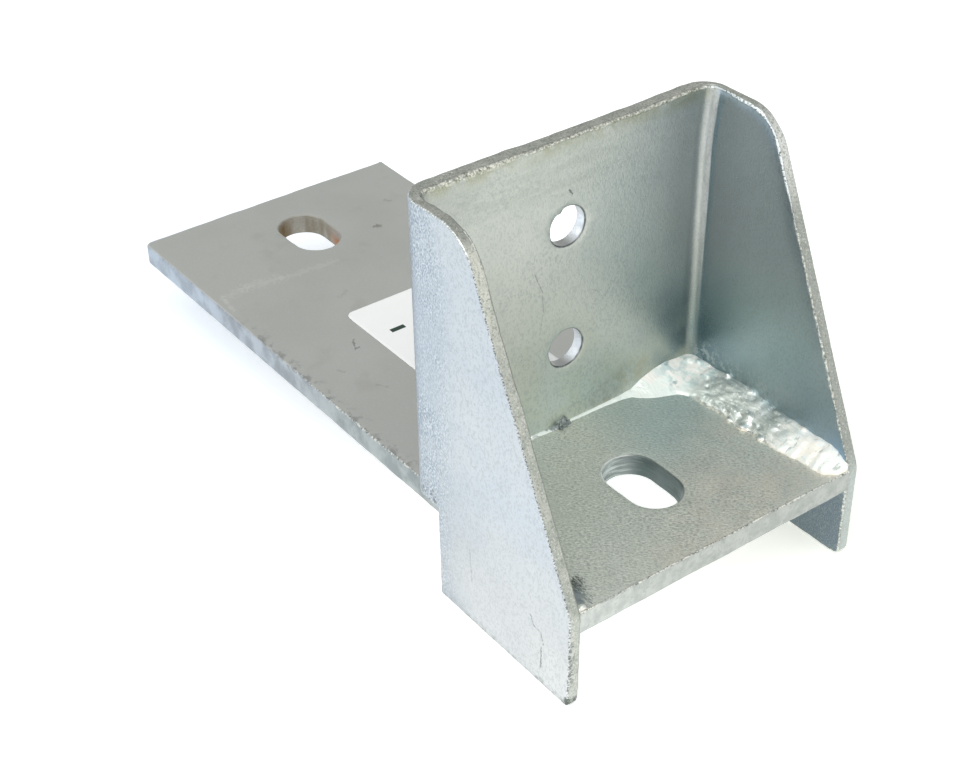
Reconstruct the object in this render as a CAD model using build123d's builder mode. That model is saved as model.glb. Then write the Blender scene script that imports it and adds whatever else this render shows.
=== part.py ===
import os

from build123d import *

os.makedirs("parts", exist_ok=True)

# Welded gate bracket: a length of flat bar, a folded sheet saddle standing
# across it, and the weld metal that joins the two.
#
# Frame, in millimetres: the origin is midway between the two slots, on the
# underside of the flat bar. +Z is up through the bar, +Y runs along the bar
# to the end of the tongue, X runs across it.

# ---- flat bar -------------------------------------------------------------
bar_w = 80.0            # width across X
bar_t = 6.0             # thickness
bar_front = -98.2       # front end, level with the cheeks
bar_rear = 95.3         # end of the tongue
bar_corner_r = 1.2      # rear corners in plan
bar_edge_r = 0.5        # broken edge all round

slot_len = 22.0         # end to end, along Y
slot_w = 14.0
slot_y = 72.0           # each slot's distance from the origin

# ---- folded saddle ---------------------------------------------------------
sheet_t = 3.2           # 3 mm sheet and its zinc
inner_w = 80.0          # between the cheeks
bend_r = 3.0            # inner radius of both bends
web_y = -43.2           # front face of the web
web_h = 76.5            # height of the web above the bar
cheek_top = 20.0        # cheek depth at the top, from the web's front face
cheek_front = bar_front # front edge of the cheeks at bar level
cheek_corner_r = 12.5   # rounded upper front corner
kink_r = 8.0            # where the slanted edge turns vertical
leg_drop = 25.5         # how far the cheeks reach below the bar's top
leg_back = 8.0          # rear edge of the legs, in front of the web
leg_corner_r = 0.8
sheet_edge_r = 0.5      # broken edge of the sheet

hole_d = 10.0           # two holes in the web
hole_low = 22.0         # their heights above the bar's top
hole_high = 54.5

# ---- weld metal ------------------------------------------------------------
bead_floor = 8.2        # leg along the bar
bead_wall = 4.6         # leg up the cheek
bead_bulge = 0.7        # crown of the face
bead_front = -97.7      # front end of each side bead
bead_run_in = 4.5       # length over which the front end tapers
web_bead_floor = 8.6    # the bead's legs where it turns along the web
web_bead_wall = 4.4
web_bead_mid = 8.0      # how far from the cheek it keeps its size
web_bead_end = 21.5     # how far from the cheek it ends
tack_w = 4.8            # small tack in the middle of the web
tack_leg = 2.3
tack_x = -1.0

# ---- paper label on the tongue ----------------------------------------------
label_w = 31.6
label_l = 57.0
label_t = 0.15
label_r = 2.5
label_rear = 29.6       # its rear edge

back = web_y + sheet_t
half_in = inner_w / 2
half_out = half_in + sheet_t
top = bar_t + web_h
leg_z = bar_t - leg_drop

# Flat bar with one slot between the cheeks and one near the tongue's end.
with BuildPart() as base_plate:
    with BuildSketch(Plane.XY) as bar_outline:
        with Locations((0, (bar_front + bar_rear) / 2)):
            Rectangle(bar_w, bar_rear - bar_front)
        fillet(bar_outline.vertices().group_by(Axis.Y)[-1], bar_corner_r)
        with Locations((0, -slot_y), (0, slot_y)):
            SlotOverall(slot_len, slot_w, rotation=90, mode=Mode.SUBTRACT)
    extrude(amount=bar_t)
    fillet(
        base_plate.faces().sort_by(Axis.Z)[-1].edges()
        + base_plate.faces().sort_by(Axis.Z)[0].edges(),
        bar_edge_r,
    )
base_plate.part.label = "base_plate"

# Saddle: one sheet folded to a U in plan, its cheeks trimmed to the side view.
with BuildPart() as cheek_channel:
    with BuildSketch(Plane.XY.offset(leg_z)) as fold:
        with Locations((0, (back + cheek_front) / 2)):
            Rectangle(2 * half_out, back - cheek_front)
        fillet(fold.vertices().group_by(Axis.Y)[-1], bend_r + sheet_t)
    extrude(amount=top - leg_z)
    with BuildSketch(Plane.XY.offset(leg_z)) as hollow:
        with Locations((0, (web_y + cheek_front - 20) / 2)):
            Rectangle(inner_w, web_y - cheek_front + 20)
        fillet(hollow.vertices().group_by(Axis.Y)[-1], bend_r)
    extrude(amount=top - leg_z, mode=Mode.SUBTRACT)
    with BuildSketch(Plane.YZ.offset(-half_out - 1)) as side:
        with BuildLine():
            Polyline(
                (back + 1, bar_t),
                (back + 1, top),
                (web_y - cheek_top, top),
                (cheek_front, bar_t),
                (cheek_front, leg_z),
                (web_y - leg_back, leg_z),
                (web_y - leg_back, bar_t),
                close=True,
            )
        make_face()
        fillet(side.vertices().sort_by_distance((web_y - cheek_top, top))[0], cheek_corner_r)
        fillet(side.vertices().sort_by_distance((cheek_front, bar_t))[0], kink_r)
        fillet(side.vertices().group_by(Axis.Y)[0], leg_corner_r)
    extrude(amount=2 * half_out + 2, mode=Mode.INTERSECT)
    with BuildSketch(Plane.XZ.offset(-back - 1)):
        with Locations((0, bar_t + hole_low), (0, bar_t + hole_high)):
            Circle(hole_d / 2)
    extrude(amount=sheet_t + 2, mode=Mode.SUBTRACT)
    fillet(
        cheek_channel.faces().sort_by(Axis.X)[0].edges()
        + cheek_channel.faces().sort_by(Axis.X)[-1].edges(),
        sheet_edge_r,
    )
cheek_channel.part.label = "cheek_channel"

# Fillet weld along the right cheek, turning the corner along the web.
with BuildPart() as weld_right:
    # side bead at full size
    with BuildSketch(Plane.XZ.offset(-web_y)) as bead:
        with BuildLine():
            Line((half_in, bar_t), (half_in - bead_floor, bar_t))
            ThreePointArc(
                (half_in - bead_floor, bar_t),
                (half_in - bead_floor / 2 - 0.5 * bead_bulge, bar_t + bead_wall / 2 + bead_bulge),
                (half_in, bar_t + bead_wall),
            )
            Line((half_in, bar_t + bead_wall), (half_in, bar_t))
        make_face()
    extrude(amount=web_y - bead_front - bead_run_in)
    # its front end tapers to a small run-in
    with BuildSketch(Plane.XZ.offset(-(bead_front + bead_run_in))) as bead_a:
        with BuildLine():
            Line((half_in, bar_t), (half_in - bead_floor, bar_t))
            ThreePointArc(
                (half_in - bead_floor, bar_t),
                (half_in - bead_floor / 2 - 0.5 * bead_bulge, bar_t + bead_wall / 2 + bead_bulge),
                (half_in, bar_t + bead_wall),
            )
            Line((half_in, bar_t + bead_wall), (half_in, bar_t))
        make_face()
    with BuildSketch(Plane.XZ.offset(-bead_front)) as bead_b:
        with BuildLine():
            Line((half_in, bar_t), (half_in - 4.2, bar_t))
            ThreePointArc((half_in - 4.2, bar_t), (half_in - 2.3, bar_t + 1.2), (half_in, bar_t + 1.6))
            Line((half_in, bar_t + 1.6), (half_in, bar_t))
        make_face()
    loft(sections=[bead_a.sketch, bead_b.sketch])
    # the bead along the web
    with BuildSketch(Plane.YZ.offset(half_in)) as turn_a:
        with BuildLine():
            Line((web_y, bar_t), (web_y - web_bead_floor, bar_t))
            ThreePointArc(
                (web_y - web_bead_floor, bar_t),
                (web_y - web_bead_floor / 2 - 0.4, bar_t + web_bead_wall / 2 + 0.6),
                (web_y, bar_t + web_bead_wall),
            )
            Line((web_y, bar_t + web_bead_wall), (web_y, bar_t))
        make_face()
    extrude(amount=-web_bead_mid)
    with BuildSketch(Plane.YZ.offset(half_in - web_bead_mid)) as turn_b:
        with BuildLine():
            Line((web_y, bar_t), (web_y - web_bead_floor, bar_t))
            ThreePointArc(
                (web_y - web_bead_floor, bar_t),
                (web_y - web_bead_floor / 2 - 0.4, bar_t + web_bead_wall / 2 + 0.6),
                (web_y, bar_t + web_bead_wall),
            )
            Line((web_y, bar_t + web_bead_wall), (web_y, bar_t))
        make_face()
    with BuildSketch(Plane.YZ.offset(half_in - web_bead_end)) as turn_c:
        with BuildLine():
            Line((web_y, bar_t), (web_y - 1.8, bar_t))
            ThreePointArc((web_y - 1.8, bar_t), (web_y - 0.85, bar_t + 0.5), (web_y, bar_t + 0.8))
            Line((web_y, bar_t + 0.8), (web_y, bar_t))
        make_face()
    loft(sections=[turn_b.sketch, turn_c.sketch])
    add(cheek_channel.part, mode=Mode.SUBTRACT)
weld_right.part.label = "weld_right"

# The same weld on the left cheek.
with BuildPart() as weld_left:
    add(weld_right.part)
    mirror(about=Plane.YZ, mode=Mode.REPLACE)
weld_left.part.label = "weld_left"

# Small tack in the middle of the web's foot.
with BuildPart() as weld_tack:
    with BuildSketch(Plane.YZ.offset(tack_x - tack_w / 2)):
        with BuildLine():
            Line((web_y, bar_t), (web_y - tack_leg, bar_t))
            ThreePointArc(
                (web_y - tack_leg, bar_t),
                (web_y - 0.62 * tack_leg, bar_t + 0.62 * tack_leg),
                (web_y, bar_t + tack_leg),
            )
            Line((web_y, bar_t + tack_leg), (web_y, bar_t))
        make_face()
    extrude(amount=tack_w)
    add(cheek_channel.part, mode=Mode.SUBTRACT)
weld_tack.part.label = "weld_tack"

# Plain paper label stuck on the tongue.
with BuildPart() as label:
    with BuildSketch(Plane.XY.offset(bar_t)):
        with Locations((0, label_rear - label_l / 2)):
            RectangleRounded(label_w, label_l, label_r)
    extrude(amount=label_t)
label.part.label = "label"

for piece in (base_plate, cheek_channel, weld_right, weld_left, weld_tack, label):
    solids = piece.part.solids()
    box = piece.part.bounding_box()
    print(
        piece.part.label,
        len(solids),
        piece.part.is_valid,
        round(piece.part.volume, 1),
        [round(v, 2) for v in (*box.min, *box.max)],
    )

export_step(base_plate.part, "parts/base_plate.step")
export_step(cheek_channel.part, "parts/cheek_channel.step")
export_step(weld_right.part, "parts/weld_right.step")
export_step(weld_left.part, "parts/weld_left.step")
export_step(weld_tack.part, "parts/weld_tack.step")
export_step(label.part, "parts/label.step")
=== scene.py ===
import math

import bmesh
import bpy
import numpy as np
from mathutils import Matrix, Vector
from mathutils.geometry import delaunay_2d_cdt


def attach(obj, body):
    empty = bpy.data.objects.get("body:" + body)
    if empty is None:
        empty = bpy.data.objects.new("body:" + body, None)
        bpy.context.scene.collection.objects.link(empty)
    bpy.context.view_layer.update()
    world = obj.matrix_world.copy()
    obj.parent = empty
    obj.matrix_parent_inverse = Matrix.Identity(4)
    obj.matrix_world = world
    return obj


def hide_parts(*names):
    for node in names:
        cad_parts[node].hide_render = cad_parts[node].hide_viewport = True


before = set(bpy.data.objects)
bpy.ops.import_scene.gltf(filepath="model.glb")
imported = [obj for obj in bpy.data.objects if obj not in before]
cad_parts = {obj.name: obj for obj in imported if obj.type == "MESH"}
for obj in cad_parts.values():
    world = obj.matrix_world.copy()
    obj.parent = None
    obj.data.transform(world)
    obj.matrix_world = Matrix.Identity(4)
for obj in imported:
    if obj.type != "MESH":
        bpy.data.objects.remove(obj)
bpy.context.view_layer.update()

# ---------------------------------------------------------------- dimensions, in mm
BAR_T = 6.0
BAR_HALF = 40.0
BAR_FRONT, BAR_REAR = -98.2, 95.3
SLOT_L, SLOT_W, SLOT_Y = 22.0, 14.0, 72.0
T = 3.2
BEND = 3.0
WEB_Y = -43.2
WEB_TOP = 82.5
CHEEK_TOP = 20.0
LEG_Z = -19.5
LEG_BACK = 8.0
CORNER_R = 12.5
KINK_R = 8.0
HOLE_R = 5.0
HOLES_Z = (28.0, 60.5)


# ---------------------------------------------------------------- smooth noise, the same every run
def _lattice(i, j, k, seed):
    n = (
        i.astype(np.uint64) * np.uint64(73856093)
        ^ j.astype(np.uint64) * np.uint64(19349663)
        ^ k.astype(np.uint64) * np.uint64(83492791)
        ^ np.uint64((seed * 2654435761) & 0xFFFFFFFF)
    )
    n = n & np.uint64(0xFFFFFFFF)
    n = (n ^ (n >> np.uint64(13))) * np.uint64(1274126177) & np.uint64(0xFFFFFFFF)
    n = (n ^ (n >> np.uint64(15))) * np.uint64(2246822519) & np.uint64(0xFFFFFFFF)
    n = n ^ (n >> np.uint64(16))
    return n.astype(float) / 2147483647.5 - 1.0


def vnoise(p, size, seed=0):
    q = np.asarray(p, float) / size + 1000.0
    f = np.floor(q)
    t = q - f
    t = t * t * t * (t * (t * 6 - 15) + 10)
    f = f.astype(np.int64)
    out = 0.0
    for a in (0, 1):
        for b in (0, 1):
            for c in (0, 1):
                w = (
                    (t[:, 0] if a else 1 - t[:, 0])
                    * (t[:, 1] if b else 1 - t[:, 1])
                    * (t[:, 2] if c else 1 - t[:, 2])
                )
                out = out + w * _lattice(f[:, 0] + a, f[:, 1] + b, f[:, 2] + c, seed)
    return out


def fbm(p, size, seed=0, octaves=3):
    out, amp = 0.0, 1.0
    for o in range(octaves):
        out = out + amp * vnoise(p, size / 2**o, seed + 17 * o)
        amp *= 0.5
    return out


def smooth(a, b, x):
    t = np.clip((np.asarray(x, float) - a) / (b - a), 0, 1)
    return t * t * (3 - 2 * t)


# ---------------------------------------------------------------- outlines
def fillet_poly(points, radii):
    """Corner points and one radius each, as a closed polyline with arcs for the corners."""
    out = []
    n = len(points)
    for i in range(n):
        p = np.array(points[i], float)
        r = radii[i]
        if r <= 0:
            out.append(p)
            continue
        a = np.array(points[i - 1], float) - p
        b = np.array(points[(i + 1) % n], float) - p
        a /= np.linalg.norm(a)
        b /= np.linalg.norm(b)
        ang = math.acos(max(-1, min(1, float(a @ b))))
        d = r / math.tan(ang / 2)
        c = p + (a + b) / np.linalg.norm(a + b) * r / math.sin(ang / 2)
        s, e = p + a * d - c, p + b * d - c
        t0, t1 = math.atan2(s[1], s[0]), math.atan2(e[1], e[0])
        turn = (t1 - t0 + math.pi) % (2 * math.pi) - math.pi
        k = max(3, int(abs(turn) * r / 0.5) + 1)
        for j in range(k + 1):
            t = t0 + turn * j / k
            out.append(c + r * np.array([math.cos(t), math.sin(t)]))
    return np.array(out)


def resample(poly, step):
    """A closed polyline with its runs divided to about step, its own points kept."""
    out = []
    n = len(poly)
    for i in range(n):
        a, b = poly[i], poly[(i + 1) % n]
        d = np.linalg.norm(b - a)
        if d < 1e-6:
            continue
        k = max(1, int(round(d / step)))
        for j in range(k):
            out.append(a + (b - a) * j / k)
    return np.array(out)


def circle(cx, cy, r, n, turn=-1):
    t = np.arange(n) / n * 2 * math.pi * turn
    return np.stack([cx + r * np.cos(t), cy + r * np.sin(t)], 1)


def slot(cx, cy, length, width, step):
    """A slot that runs along the second axis, clockwise."""
    h = (length - width) / 2
    n = int(math.pi * width / 2 / step)
    t = np.linspace(0, math.pi, n + 1)
    top = np.stack([width / 2 * np.cos(t), h + width / 2 * np.sin(t)], 1)
    ring = np.concatenate([top, -top])
    ring = ring + np.array([cx, cy])
    return resample(ring, step)[::-1]


def inward(poly):
    """Unit normals to the left of travel, mitred so that an offset keeps its width."""
    a = poly - np.roll(poly, 1, 0)
    b = np.roll(poly, -1, 0) - poly
    a /= np.linalg.norm(a, axis=1)[:, None]
    b /= np.linalg.norm(b, axis=1)[:, None]
    na = np.stack([-a[:, 1], a[:, 0]], 1)
    nb = np.stack([-b[:, 1], b[:, 0]], 1)
    m = na + nb
    m /= np.linalg.norm(m, axis=1)[:, None]
    k = 1 / np.clip((m * na).sum(1), 0.6, 1)
    return m * k[:, None]


def inside(points, loops):
    """Even-odd test of points against closed loops."""
    res = np.zeros(len(points), bool)
    x, y = points[:, 0], points[:, 1]
    for loop in loops:
        a = loop
        b = np.roll(loop, -1, 0)
        for (x0, y0), (x1, y1) in zip(a, b):
            if y0 == y1:
                continue
            hit = (y0 > y) != (y1 > y)
            cross = x < (x1 - x0) * (y - y0) / (y1 - y0) + x0
            res ^= hit & cross
    return res


def near(points, loops, gap):
    keep = np.ones(len(points), bool)
    for loop in loops:
        for i in range(0, len(loop), 64):
            d = points[:, None, :] - loop[None, i : i + 64, :]
            keep &= (d * d).sum(2).min(1) > gap * gap
    return keep


def distance(points, loops):
    best = np.full(len(points), 99.0)
    for loop in loops:
        for i in range(0, len(loop), 64):
            d = points[:, None, :] - loop[None, i : i + 64, :]
            best = np.minimum(best, np.sqrt((d * d).sum(2).min(1)))
    return best


# ---------------------------------------------------------------- meshes
def new_object(name, verts, faces, attrs=None, smooth_shade=True):
    """verts in mm, in the row frame."""
    me = bpy.data.meshes.new(name)
    me.from_pydata((np.asarray(verts) * 0.001).tolist(), [], [list(map(int, f)) for f in faces])
    me.validate()
    me.update()
    for key, val in (attrs or {}).items():
        at = me.attributes.new(key, "FLOAT", "POINT")
        at.data.foreach_set("value", np.asarray(val, np.float32))
    if smooth_shade:
        me.polygons.foreach_set("use_smooth", np.ones(len(me.polygons), bool))
    ob = bpy.data.objects.new(name, me)
    bpy.context.scene.collection.objects.link(ob)
    return ob


def close_corners(ob):
    """Fills the few corner triangles that the flat triangulation leaves out."""
    bm = bmesh.new()
    bm.from_mesh(ob.data)
    rim = [e for e in bm.edges if len(e.link_faces) == 1]
    for f in bmesh.ops.holes_fill(bm, edges=rim, sides=0)["faces"]:
        f.smooth = True
        loop = f.loops[0]
        if loop.link_loop_radial_next.vert == loop.vert:
            f.normal_flip()
    bm.to_mesh(ob.data)
    bm.free()


def slab(loops, thick, grid_points, round_lo, round_hi, edge_wave, rounds=4, mids=2):
    """A plate with rounded edges, built flat from its loops.

    loops: the outer outline anticlockwise and the holes clockwise, in (u, v).
    round_lo(i, loop) and round_hi(i, loop) are the edge radii at w = 0 and at w = thick.
    edge_wave(i, loop, w) moves the edge inward. Returns points (u, v, w), faces and masks.
    """
    flat, faces = [], []
    wall, rim_lo, rim_hi, hole_id, d_out, d_hole = [], [], [], [], [], []
    first_lo, first_hi = [], []
    steps = [(0, math.pi / 2 * i / rounds) for i in range(rounds + 1)]
    steps += [(1, i / (mids + 1)) for i in range(1, mids + 1)]
    steps += [(2, math.pi / 2 * (1 - i / rounds)) for i in range(rounds + 1)]
    count = 0
    for li, loop in enumerate(loops):
        nrm = inward(loop)
        n = len(loop)
        start = count
        lo = np.broadcast_to(np.asarray(round_lo(li, loop), float), (n,))
        hi = np.broadcast_to(np.asarray(round_hi(li, loop), float), (n,))
        for kind, t in steps:
            if kind == 0:
                inset, w, up = lo * (1 - math.sin(t)), lo * (1 - math.cos(t)), math.sin(t)
            elif kind == 1:
                inset, w, up = 0 * lo, lo + (thick - lo - hi) * t, 1.0
            else:
                inset, w, up = hi * (1 - math.sin(t)), thick - hi * (1 - math.cos(t)), math.sin(t)
            p = loop + nrm * (inset + edge_wave(li, loop, w))[:, None]
            flat.append(np.column_stack([p, w]))
            wall.append(np.full(n, up))
            rim_lo.append(np.full(n, math.sin(2 * t) if kind == 0 else 0.0))
            rim_hi.append(np.full(n, math.sin(2 * t) if kind == 2 else 0.0))
            hole_id.append(np.full(n, li))
            d_out.append(inset if li == 0 else np.full(n, 99.0))
            d_hole.append(inset if li else np.full(n, 99.0))
            count += n
        for r in range(len(steps) - 1):
            a, b = start + r * n, start + (r + 1) * n
            for i in range(n):
                j = (i + 1) % n
                faces.append((a + j, b + j, b + i, a + i))
        first_lo.append((start, n))
        first_hi.append((start + (len(steps) - 1) * n, n))
    ring_flat = np.concatenate(flat)
    for firsts, w, up in ((first_lo, 0.0, False), (first_hi, thick, True)):
        rings = [ring_flat[s : s + n, :2] for s, n in firsts]
        pts = grid_points[inside(grid_points, rings)]
        pts = pts[near(pts, rings, 0.45)]
        base = count
        ids = np.concatenate([np.arange(s, s + n) for s, n in firsts] + [np.arange(base, base + len(pts))])
        coords = np.concatenate(rings + [pts])
        edges, k = [], 0
        for s, n in firsts:
            edges += [(k + i, k + (i + 1) % n) for i in range(n)]
            k += n
        _, _, tris, orig, _, _ = delaunay_2d_cdt([Vector(c) for c in coords.tolist()], edges, [], 0, 1e-6, True)
        vmap = [o[0] if o else -1 for o in orig]
        tri = np.array([[vmap[i] for i in t] for t in tris if all(vmap[i] >= 0 for i in t)])
        tri = tri[inside(coords[tri].mean(1), rings)]
        p, q, r = coords[tri[:, 0]], coords[tri[:, 1]], coords[tri[:, 2]]
        area = (q - p)[:, 0] * (r - p)[:, 1] - (q - p)[:, 1] * (r - p)[:, 0]
        tri, area = tri[np.abs(area) > 1e-9], area[np.abs(area) > 1e-9]
        flip = (area < 0) == up
        tri[flip] = tri[flip][:, ::-1]
        faces += [tuple(t) for t in ids[tri]]
        m = len(pts)
        flat.append(np.column_stack([pts, np.full(m, w)]))
        for acc in (wall, rim_lo, rim_hi):
            acc.append(np.zeros(m))
        hole_id.append(np.full(m, -1))
        d_out.append(distance(pts, loops[:1]))
        d_hole.append(distance(pts, loops[1:]))
        count += m
    masks = {
        "wall": np.concatenate(wall),
        "rim_lo": np.concatenate(rim_lo),
        "rim_hi": np.concatenate(rim_hi),
        "hole": np.concatenate(hole_id),
        "d_out": np.concatenate(d_out),
        "d_hole": np.concatenate(d_hole),
    }
    return np.concatenate(flat), faces, masks


def surface_nets(field, origin, step):
    """The surface where field crosses zero, positive inside, as points and quads."""
    s = field > 0
    nx, ny, nz = field.shape
    cs = [(a, b, c) for a in (0, 1) for b in (0, 1) for c in (0, 1)]
    cell = lambda arr, c: arr[c[0] : nx - 1 + c[0], c[1] : ny - 1 + c[1], c[2] : nz - 1 + c[2]]
    total = sum(cell(s, c).astype(int) for c in cs)
    mixed = (total > 0) & (total < 8)
    idx = -np.ones(mixed.shape, int)
    idx[mixed] = np.arange(mixed.sum())
    acc = np.zeros((int(mixed.sum()), 3))
    cnt = np.zeros(int(mixed.sum()))
    for a in cs:
        for ax in range(3):
            if a[ax]:
                continue
            b = list(a)
            b[ax] = 1
            fa, fb = cell(field, a)[mixed], cell(field, tuple(b))[mixed]
            hit = (fa > 0) != (fb > 0)
            t = np.where(hit, fa / np.where(hit, fa - fb, 1), 0)
            pos = np.tile(np.array(a, float), (len(t), 1))
            pos[:, ax] += t
            acc[hit] += pos[hit]
            cnt[hit] += 1
    base = np.argwhere(mixed)
    verts = (base + acc / cnt[:, None]) * step + origin
    quads = []
    for ax in range(3):
        o1, o2 = [(1, 2), (2, 0), (0, 1)][ax]
        lo = [slice(None)] * 3
        hi = [slice(None)] * 3
        lo[ax], hi[ax] = slice(0, -1), slice(1, None)
        a, b = s[tuple(lo)], s[tuple(hi)]
        where = np.argwhere(a != b)
        ok = (where[:, o1] > 0) & (where[:, o2] > 0) & (where[:, o1] < field.shape[o1] - 1) & (where[:, o2] < field.shape[o2] - 1)
        where = where[ok]
        sign = a[tuple(where.T)]
        ring = []
        for d1, d2 in ((-1, -1), (0, -1), (0, 0), (-1, 0)):
            w = where.copy()
            w[:, o1] += d1
            w[:, o2] += d2
            ring.append(idx[tuple(w.T)])
        q = np.stack(ring, 1)
        q[~sign] = q[~sign][:, ::-1]
        quads.append(q)
    return verts, np.concatenate(quads)


# ---------------------------------------------------------------- flat bar
def flat_pts(loop, w=0.0):
    return np.column_stack([loop, np.broadcast_to(w, (len(loop),))])


def bar_wave(li, loop, w):
    if li == 0:
        end = smooth(39.5, 38.0, np.abs(loop[:, 0]))
        skew = 0.35 * smooth(15.0, 38.0, loop[:, 0]) * smooth(90.0, 94.5, loop[:, 1])
        return (
            0.04 * fbm(flat_pts(loop), 11.0, 3, 2)
            + end * 0.06 * fbm(flat_pts(loop, w), 2.4, 5, 2)
            + end * (0.05 + skew)
            + (1 - end) * smooth(36.0, 10.0, loop[:, 1]) * 0.1 * fbm(flat_pts(loop, w), 3.2, 6, 2)
        )
    # for a hole, inward is into the metal, so a tight spot is negative
    front_end = smooth(1.0, 10.0, (SLOT_Y if li == 2 else -SLOT_Y) - loop[:, 1])
    taper = 1 - np.clip(w / BAR_T, 0, 1)
    tight = 0.25 + front_end * (0.3 + 0.5 * taper) * (1.0 if li == 1 else 1.25)
    return -tight + 0.05 * fbm(flat_pts(loop), 5.0, 8, 2) + 0.03 * fbm(flat_pts(loop, w), 1.1, 9, 2)


def bar_round_top(li, loop):
    if li == 0:
        end = smooth(39.5, 38.0, np.abs(loop[:, 0]))
        return 0.62 - 0.2 * end + 0.14 * fbm(flat_pts(loop), 6.0, 12, 2)
    return 0.5 + 0.1 * fbm(flat_pts(loop), 3.0, 13, 2)


bar_outline = fillet_poly(
    [
        (-BAR_HALF - 0.7, BAR_FRONT),
        (BAR_HALF + 0.7, BAR_FRONT),
        (BAR_HALF + 0.7, BAR_FRONT + 1.6),
        (BAR_HALF, BAR_FRONT + 2.6),
        (BAR_HALF, BAR_REAR),
        (-BAR_HALF, BAR_REAR),
        (-BAR_HALF, BAR_FRONT + 2.6),
        (-BAR_HALF - 0.7, BAR_FRONT + 1.6),
    ],
    [0.15, 0.15, 0, 0, 0.8, 1.6, 0, 0],
)
bar_loops = [
    resample(bar_outline, 0.8),
    slot(0.0, -SLOT_Y, SLOT_L, SLOT_W, 0.6),
    slot(0.0, SLOT_Y, SLOT_L, SLOT_W, 0.6),
]
gx = np.arange(-39, 39.01, 1.3)
gy = np.arange(-97, 95, 1.3)
bar_grid = np.array([(x + (0.65 if j % 2 else 0), y) for j, y in enumerate(gy) for x in gx])
flat, faces, mk = slab(
    bar_loops, BAR_T, bar_grid, lambda i, q: np.full(len(q), 0.45), bar_round_top, bar_wave, rounds=3, mids=3
)
xyz = flat.copy()
top = smooth(4.5, 5.6, flat[:, 2])
soft = fbm(flat * [1, 1, 0], 24.0, 11, 2)
xyz[:, 2] += top * (0.03 * soft - 0.05 * (1 - np.clip(mk["d_out"] / 4, 0, 1)) ** 2)
xyz[:, 2] -= top * 0.1 * (1 - np.clip(mk["d_hole"] / 1.6, 0, 1)) ** 2
plate_zone = smooth(WEB_Y + 4, WEB_Y - 1, flat[:, 1])
bar = new_object(
    "flat_bar",
    xyz,
    faces,
    {
        "wall": mk["wall"],
        "rim": mk["rim_hi"],
        "plate_zone": plate_zone,
        "rear_slot": (mk["hole"] == 2) * np.clip(mk["wall"] * 1.6 - 0.5, 0, 1),
        "front_slot": (mk["hole"] == 1) * np.clip(mk["wall"] * 1.6 - 0.5, 0, 1),
        "edge": np.clip(1 - mk["d_out"] / 4.0, 0, 1) * (mk["wall"] < 0.9),
        "slot_rim": mk["rim_hi"] * (mk["hole"] == 1),
    },
)
close_corners(bar)

# ---------------------------------------------------------------- folded saddle
ARC = (BEND + T / 2) * math.pi / 2
S1 = BAR_HALF - BEND
S2 = S1 + ARC


def s_of_y(y):
    return S2 + (WEB_Y - BEND - y)


def saddle_place(f):
    """f is (s, z, w): s runs along the fold from the middle of the web, w from the inner face out."""
    s, z, w = f[:, 0], f[:, 1], f[:, 2]
    a = np.abs(s)
    sg = np.sign(s)
    th = np.clip((a - S1) / ARC, 0, 1) * math.pi / 2
    r = BEND + w
    x = np.minimum(a, S1) + r * np.sin(th)
    y = WEB_Y - BEND + r * np.cos(th)
    y = np.where(a > S2, y - (a - S2), y)
    return np.column_stack([sg * x, y, z])


front_s = s_of_y(BAR_FRONT)
top_s = s_of_y(WEB_Y - CHEEK_TOP)
leg_s = s_of_y(WEB_Y - LEG_BACK)
half = [
    (leg_s, BAR_T),
    (leg_s, LEG_Z),
    (front_s, LEG_Z),
    (front_s, BAR_T),
    (top_s, WEB_TOP),
]
half_r = [0.3, 0.5, 0.9, KINK_R, CORNER_R]
saddle_outline = fillet_poly(
    half + [(-s, z) for s, z in half[::-1]], [0.3, 0.5, 1.9, KINK_R, CORNER_R] + half_r[::-1]
)
saddle_loops = [resample(saddle_outline, 0.6)] + [circle(0.0, z - 0.35, HOLE_R - 0.08, 64) for z in HOLES_Z]


def saddle_wave(li, loop, w):
    if li:
        nick = -0.65 * np.exp(-(((loop[:, 0] + 2.3) / 0.75) ** 2 + ((loop[:, 1] - 64.4) / 0.8) ** 2)) * smooth(2.4, 0.9, w)
        return 0.05 * fbm(flat_pts(loop), 3.0, 41, 2) + 0.03 * fbm(flat_pts(loop, w), 0.9, 43, 2) + nick
    inner = smooth(2.2, 0.4, w)
    top = smooth(80, 82, loop[:, 1])
    s = loop[:, 0]
    bow = np.interp(
        s,
        [-41, -36, -30, -20, -15, -10, -5, 10, 15, 20, 25, 30, 35, 41],
        [0.0, 0.05, 0.16, 0.12, 0.22, -0.1, 0.02, 0.02, 0.22, 0.08, 0.16, 0.32, 0.4, 0.15],
    )
    # the slanted edge of the left cheek isn't quite straight
    belly = smooth(-S2 - 14, -S2 - 22, s) * np.interp(
        loop[:, 1], [-19, -8, 6, 25, 38, 52, 66, 74, 80], [0.1, 0.45, 0.55, 0.6, 0.3, 0.02, -0.2, -0.2, 0.0]
    )
    lean = top * (0.42 + 0.3 * smooth(0, -20, s)) * (1 - np.clip(w / T, 0, 1)) * smooth(S2 + 4, S1 - 2, np.abs(s))
    return (
        0.05 * fbm(flat_pts(loop), 16.0, 47, 2)
        + lean
        - belly
        - top * (bow + 0.1 * fbm(flat_pts(loop), 4.5, 58, 2))
        + (0.02 + 0.06 * inner) * fbm(flat_pts(loop, 1.5 * w), 1.5, 45, 2)
    )


def saddle_round_in(li, loop):
    if li:
        return 0.42 + 0.06 * fbm(flat_pts(loop), 2.0, 52, 2)
    top = smooth(80, 82, loop[:, 1])
    left = smooth(-5, -25, loop[:, 0])
    return 0.62 + top * (0.15 + 0.25 * left) + 0.2 * fbm(flat_pts(loop), 5.0, 51, 2)


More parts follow.
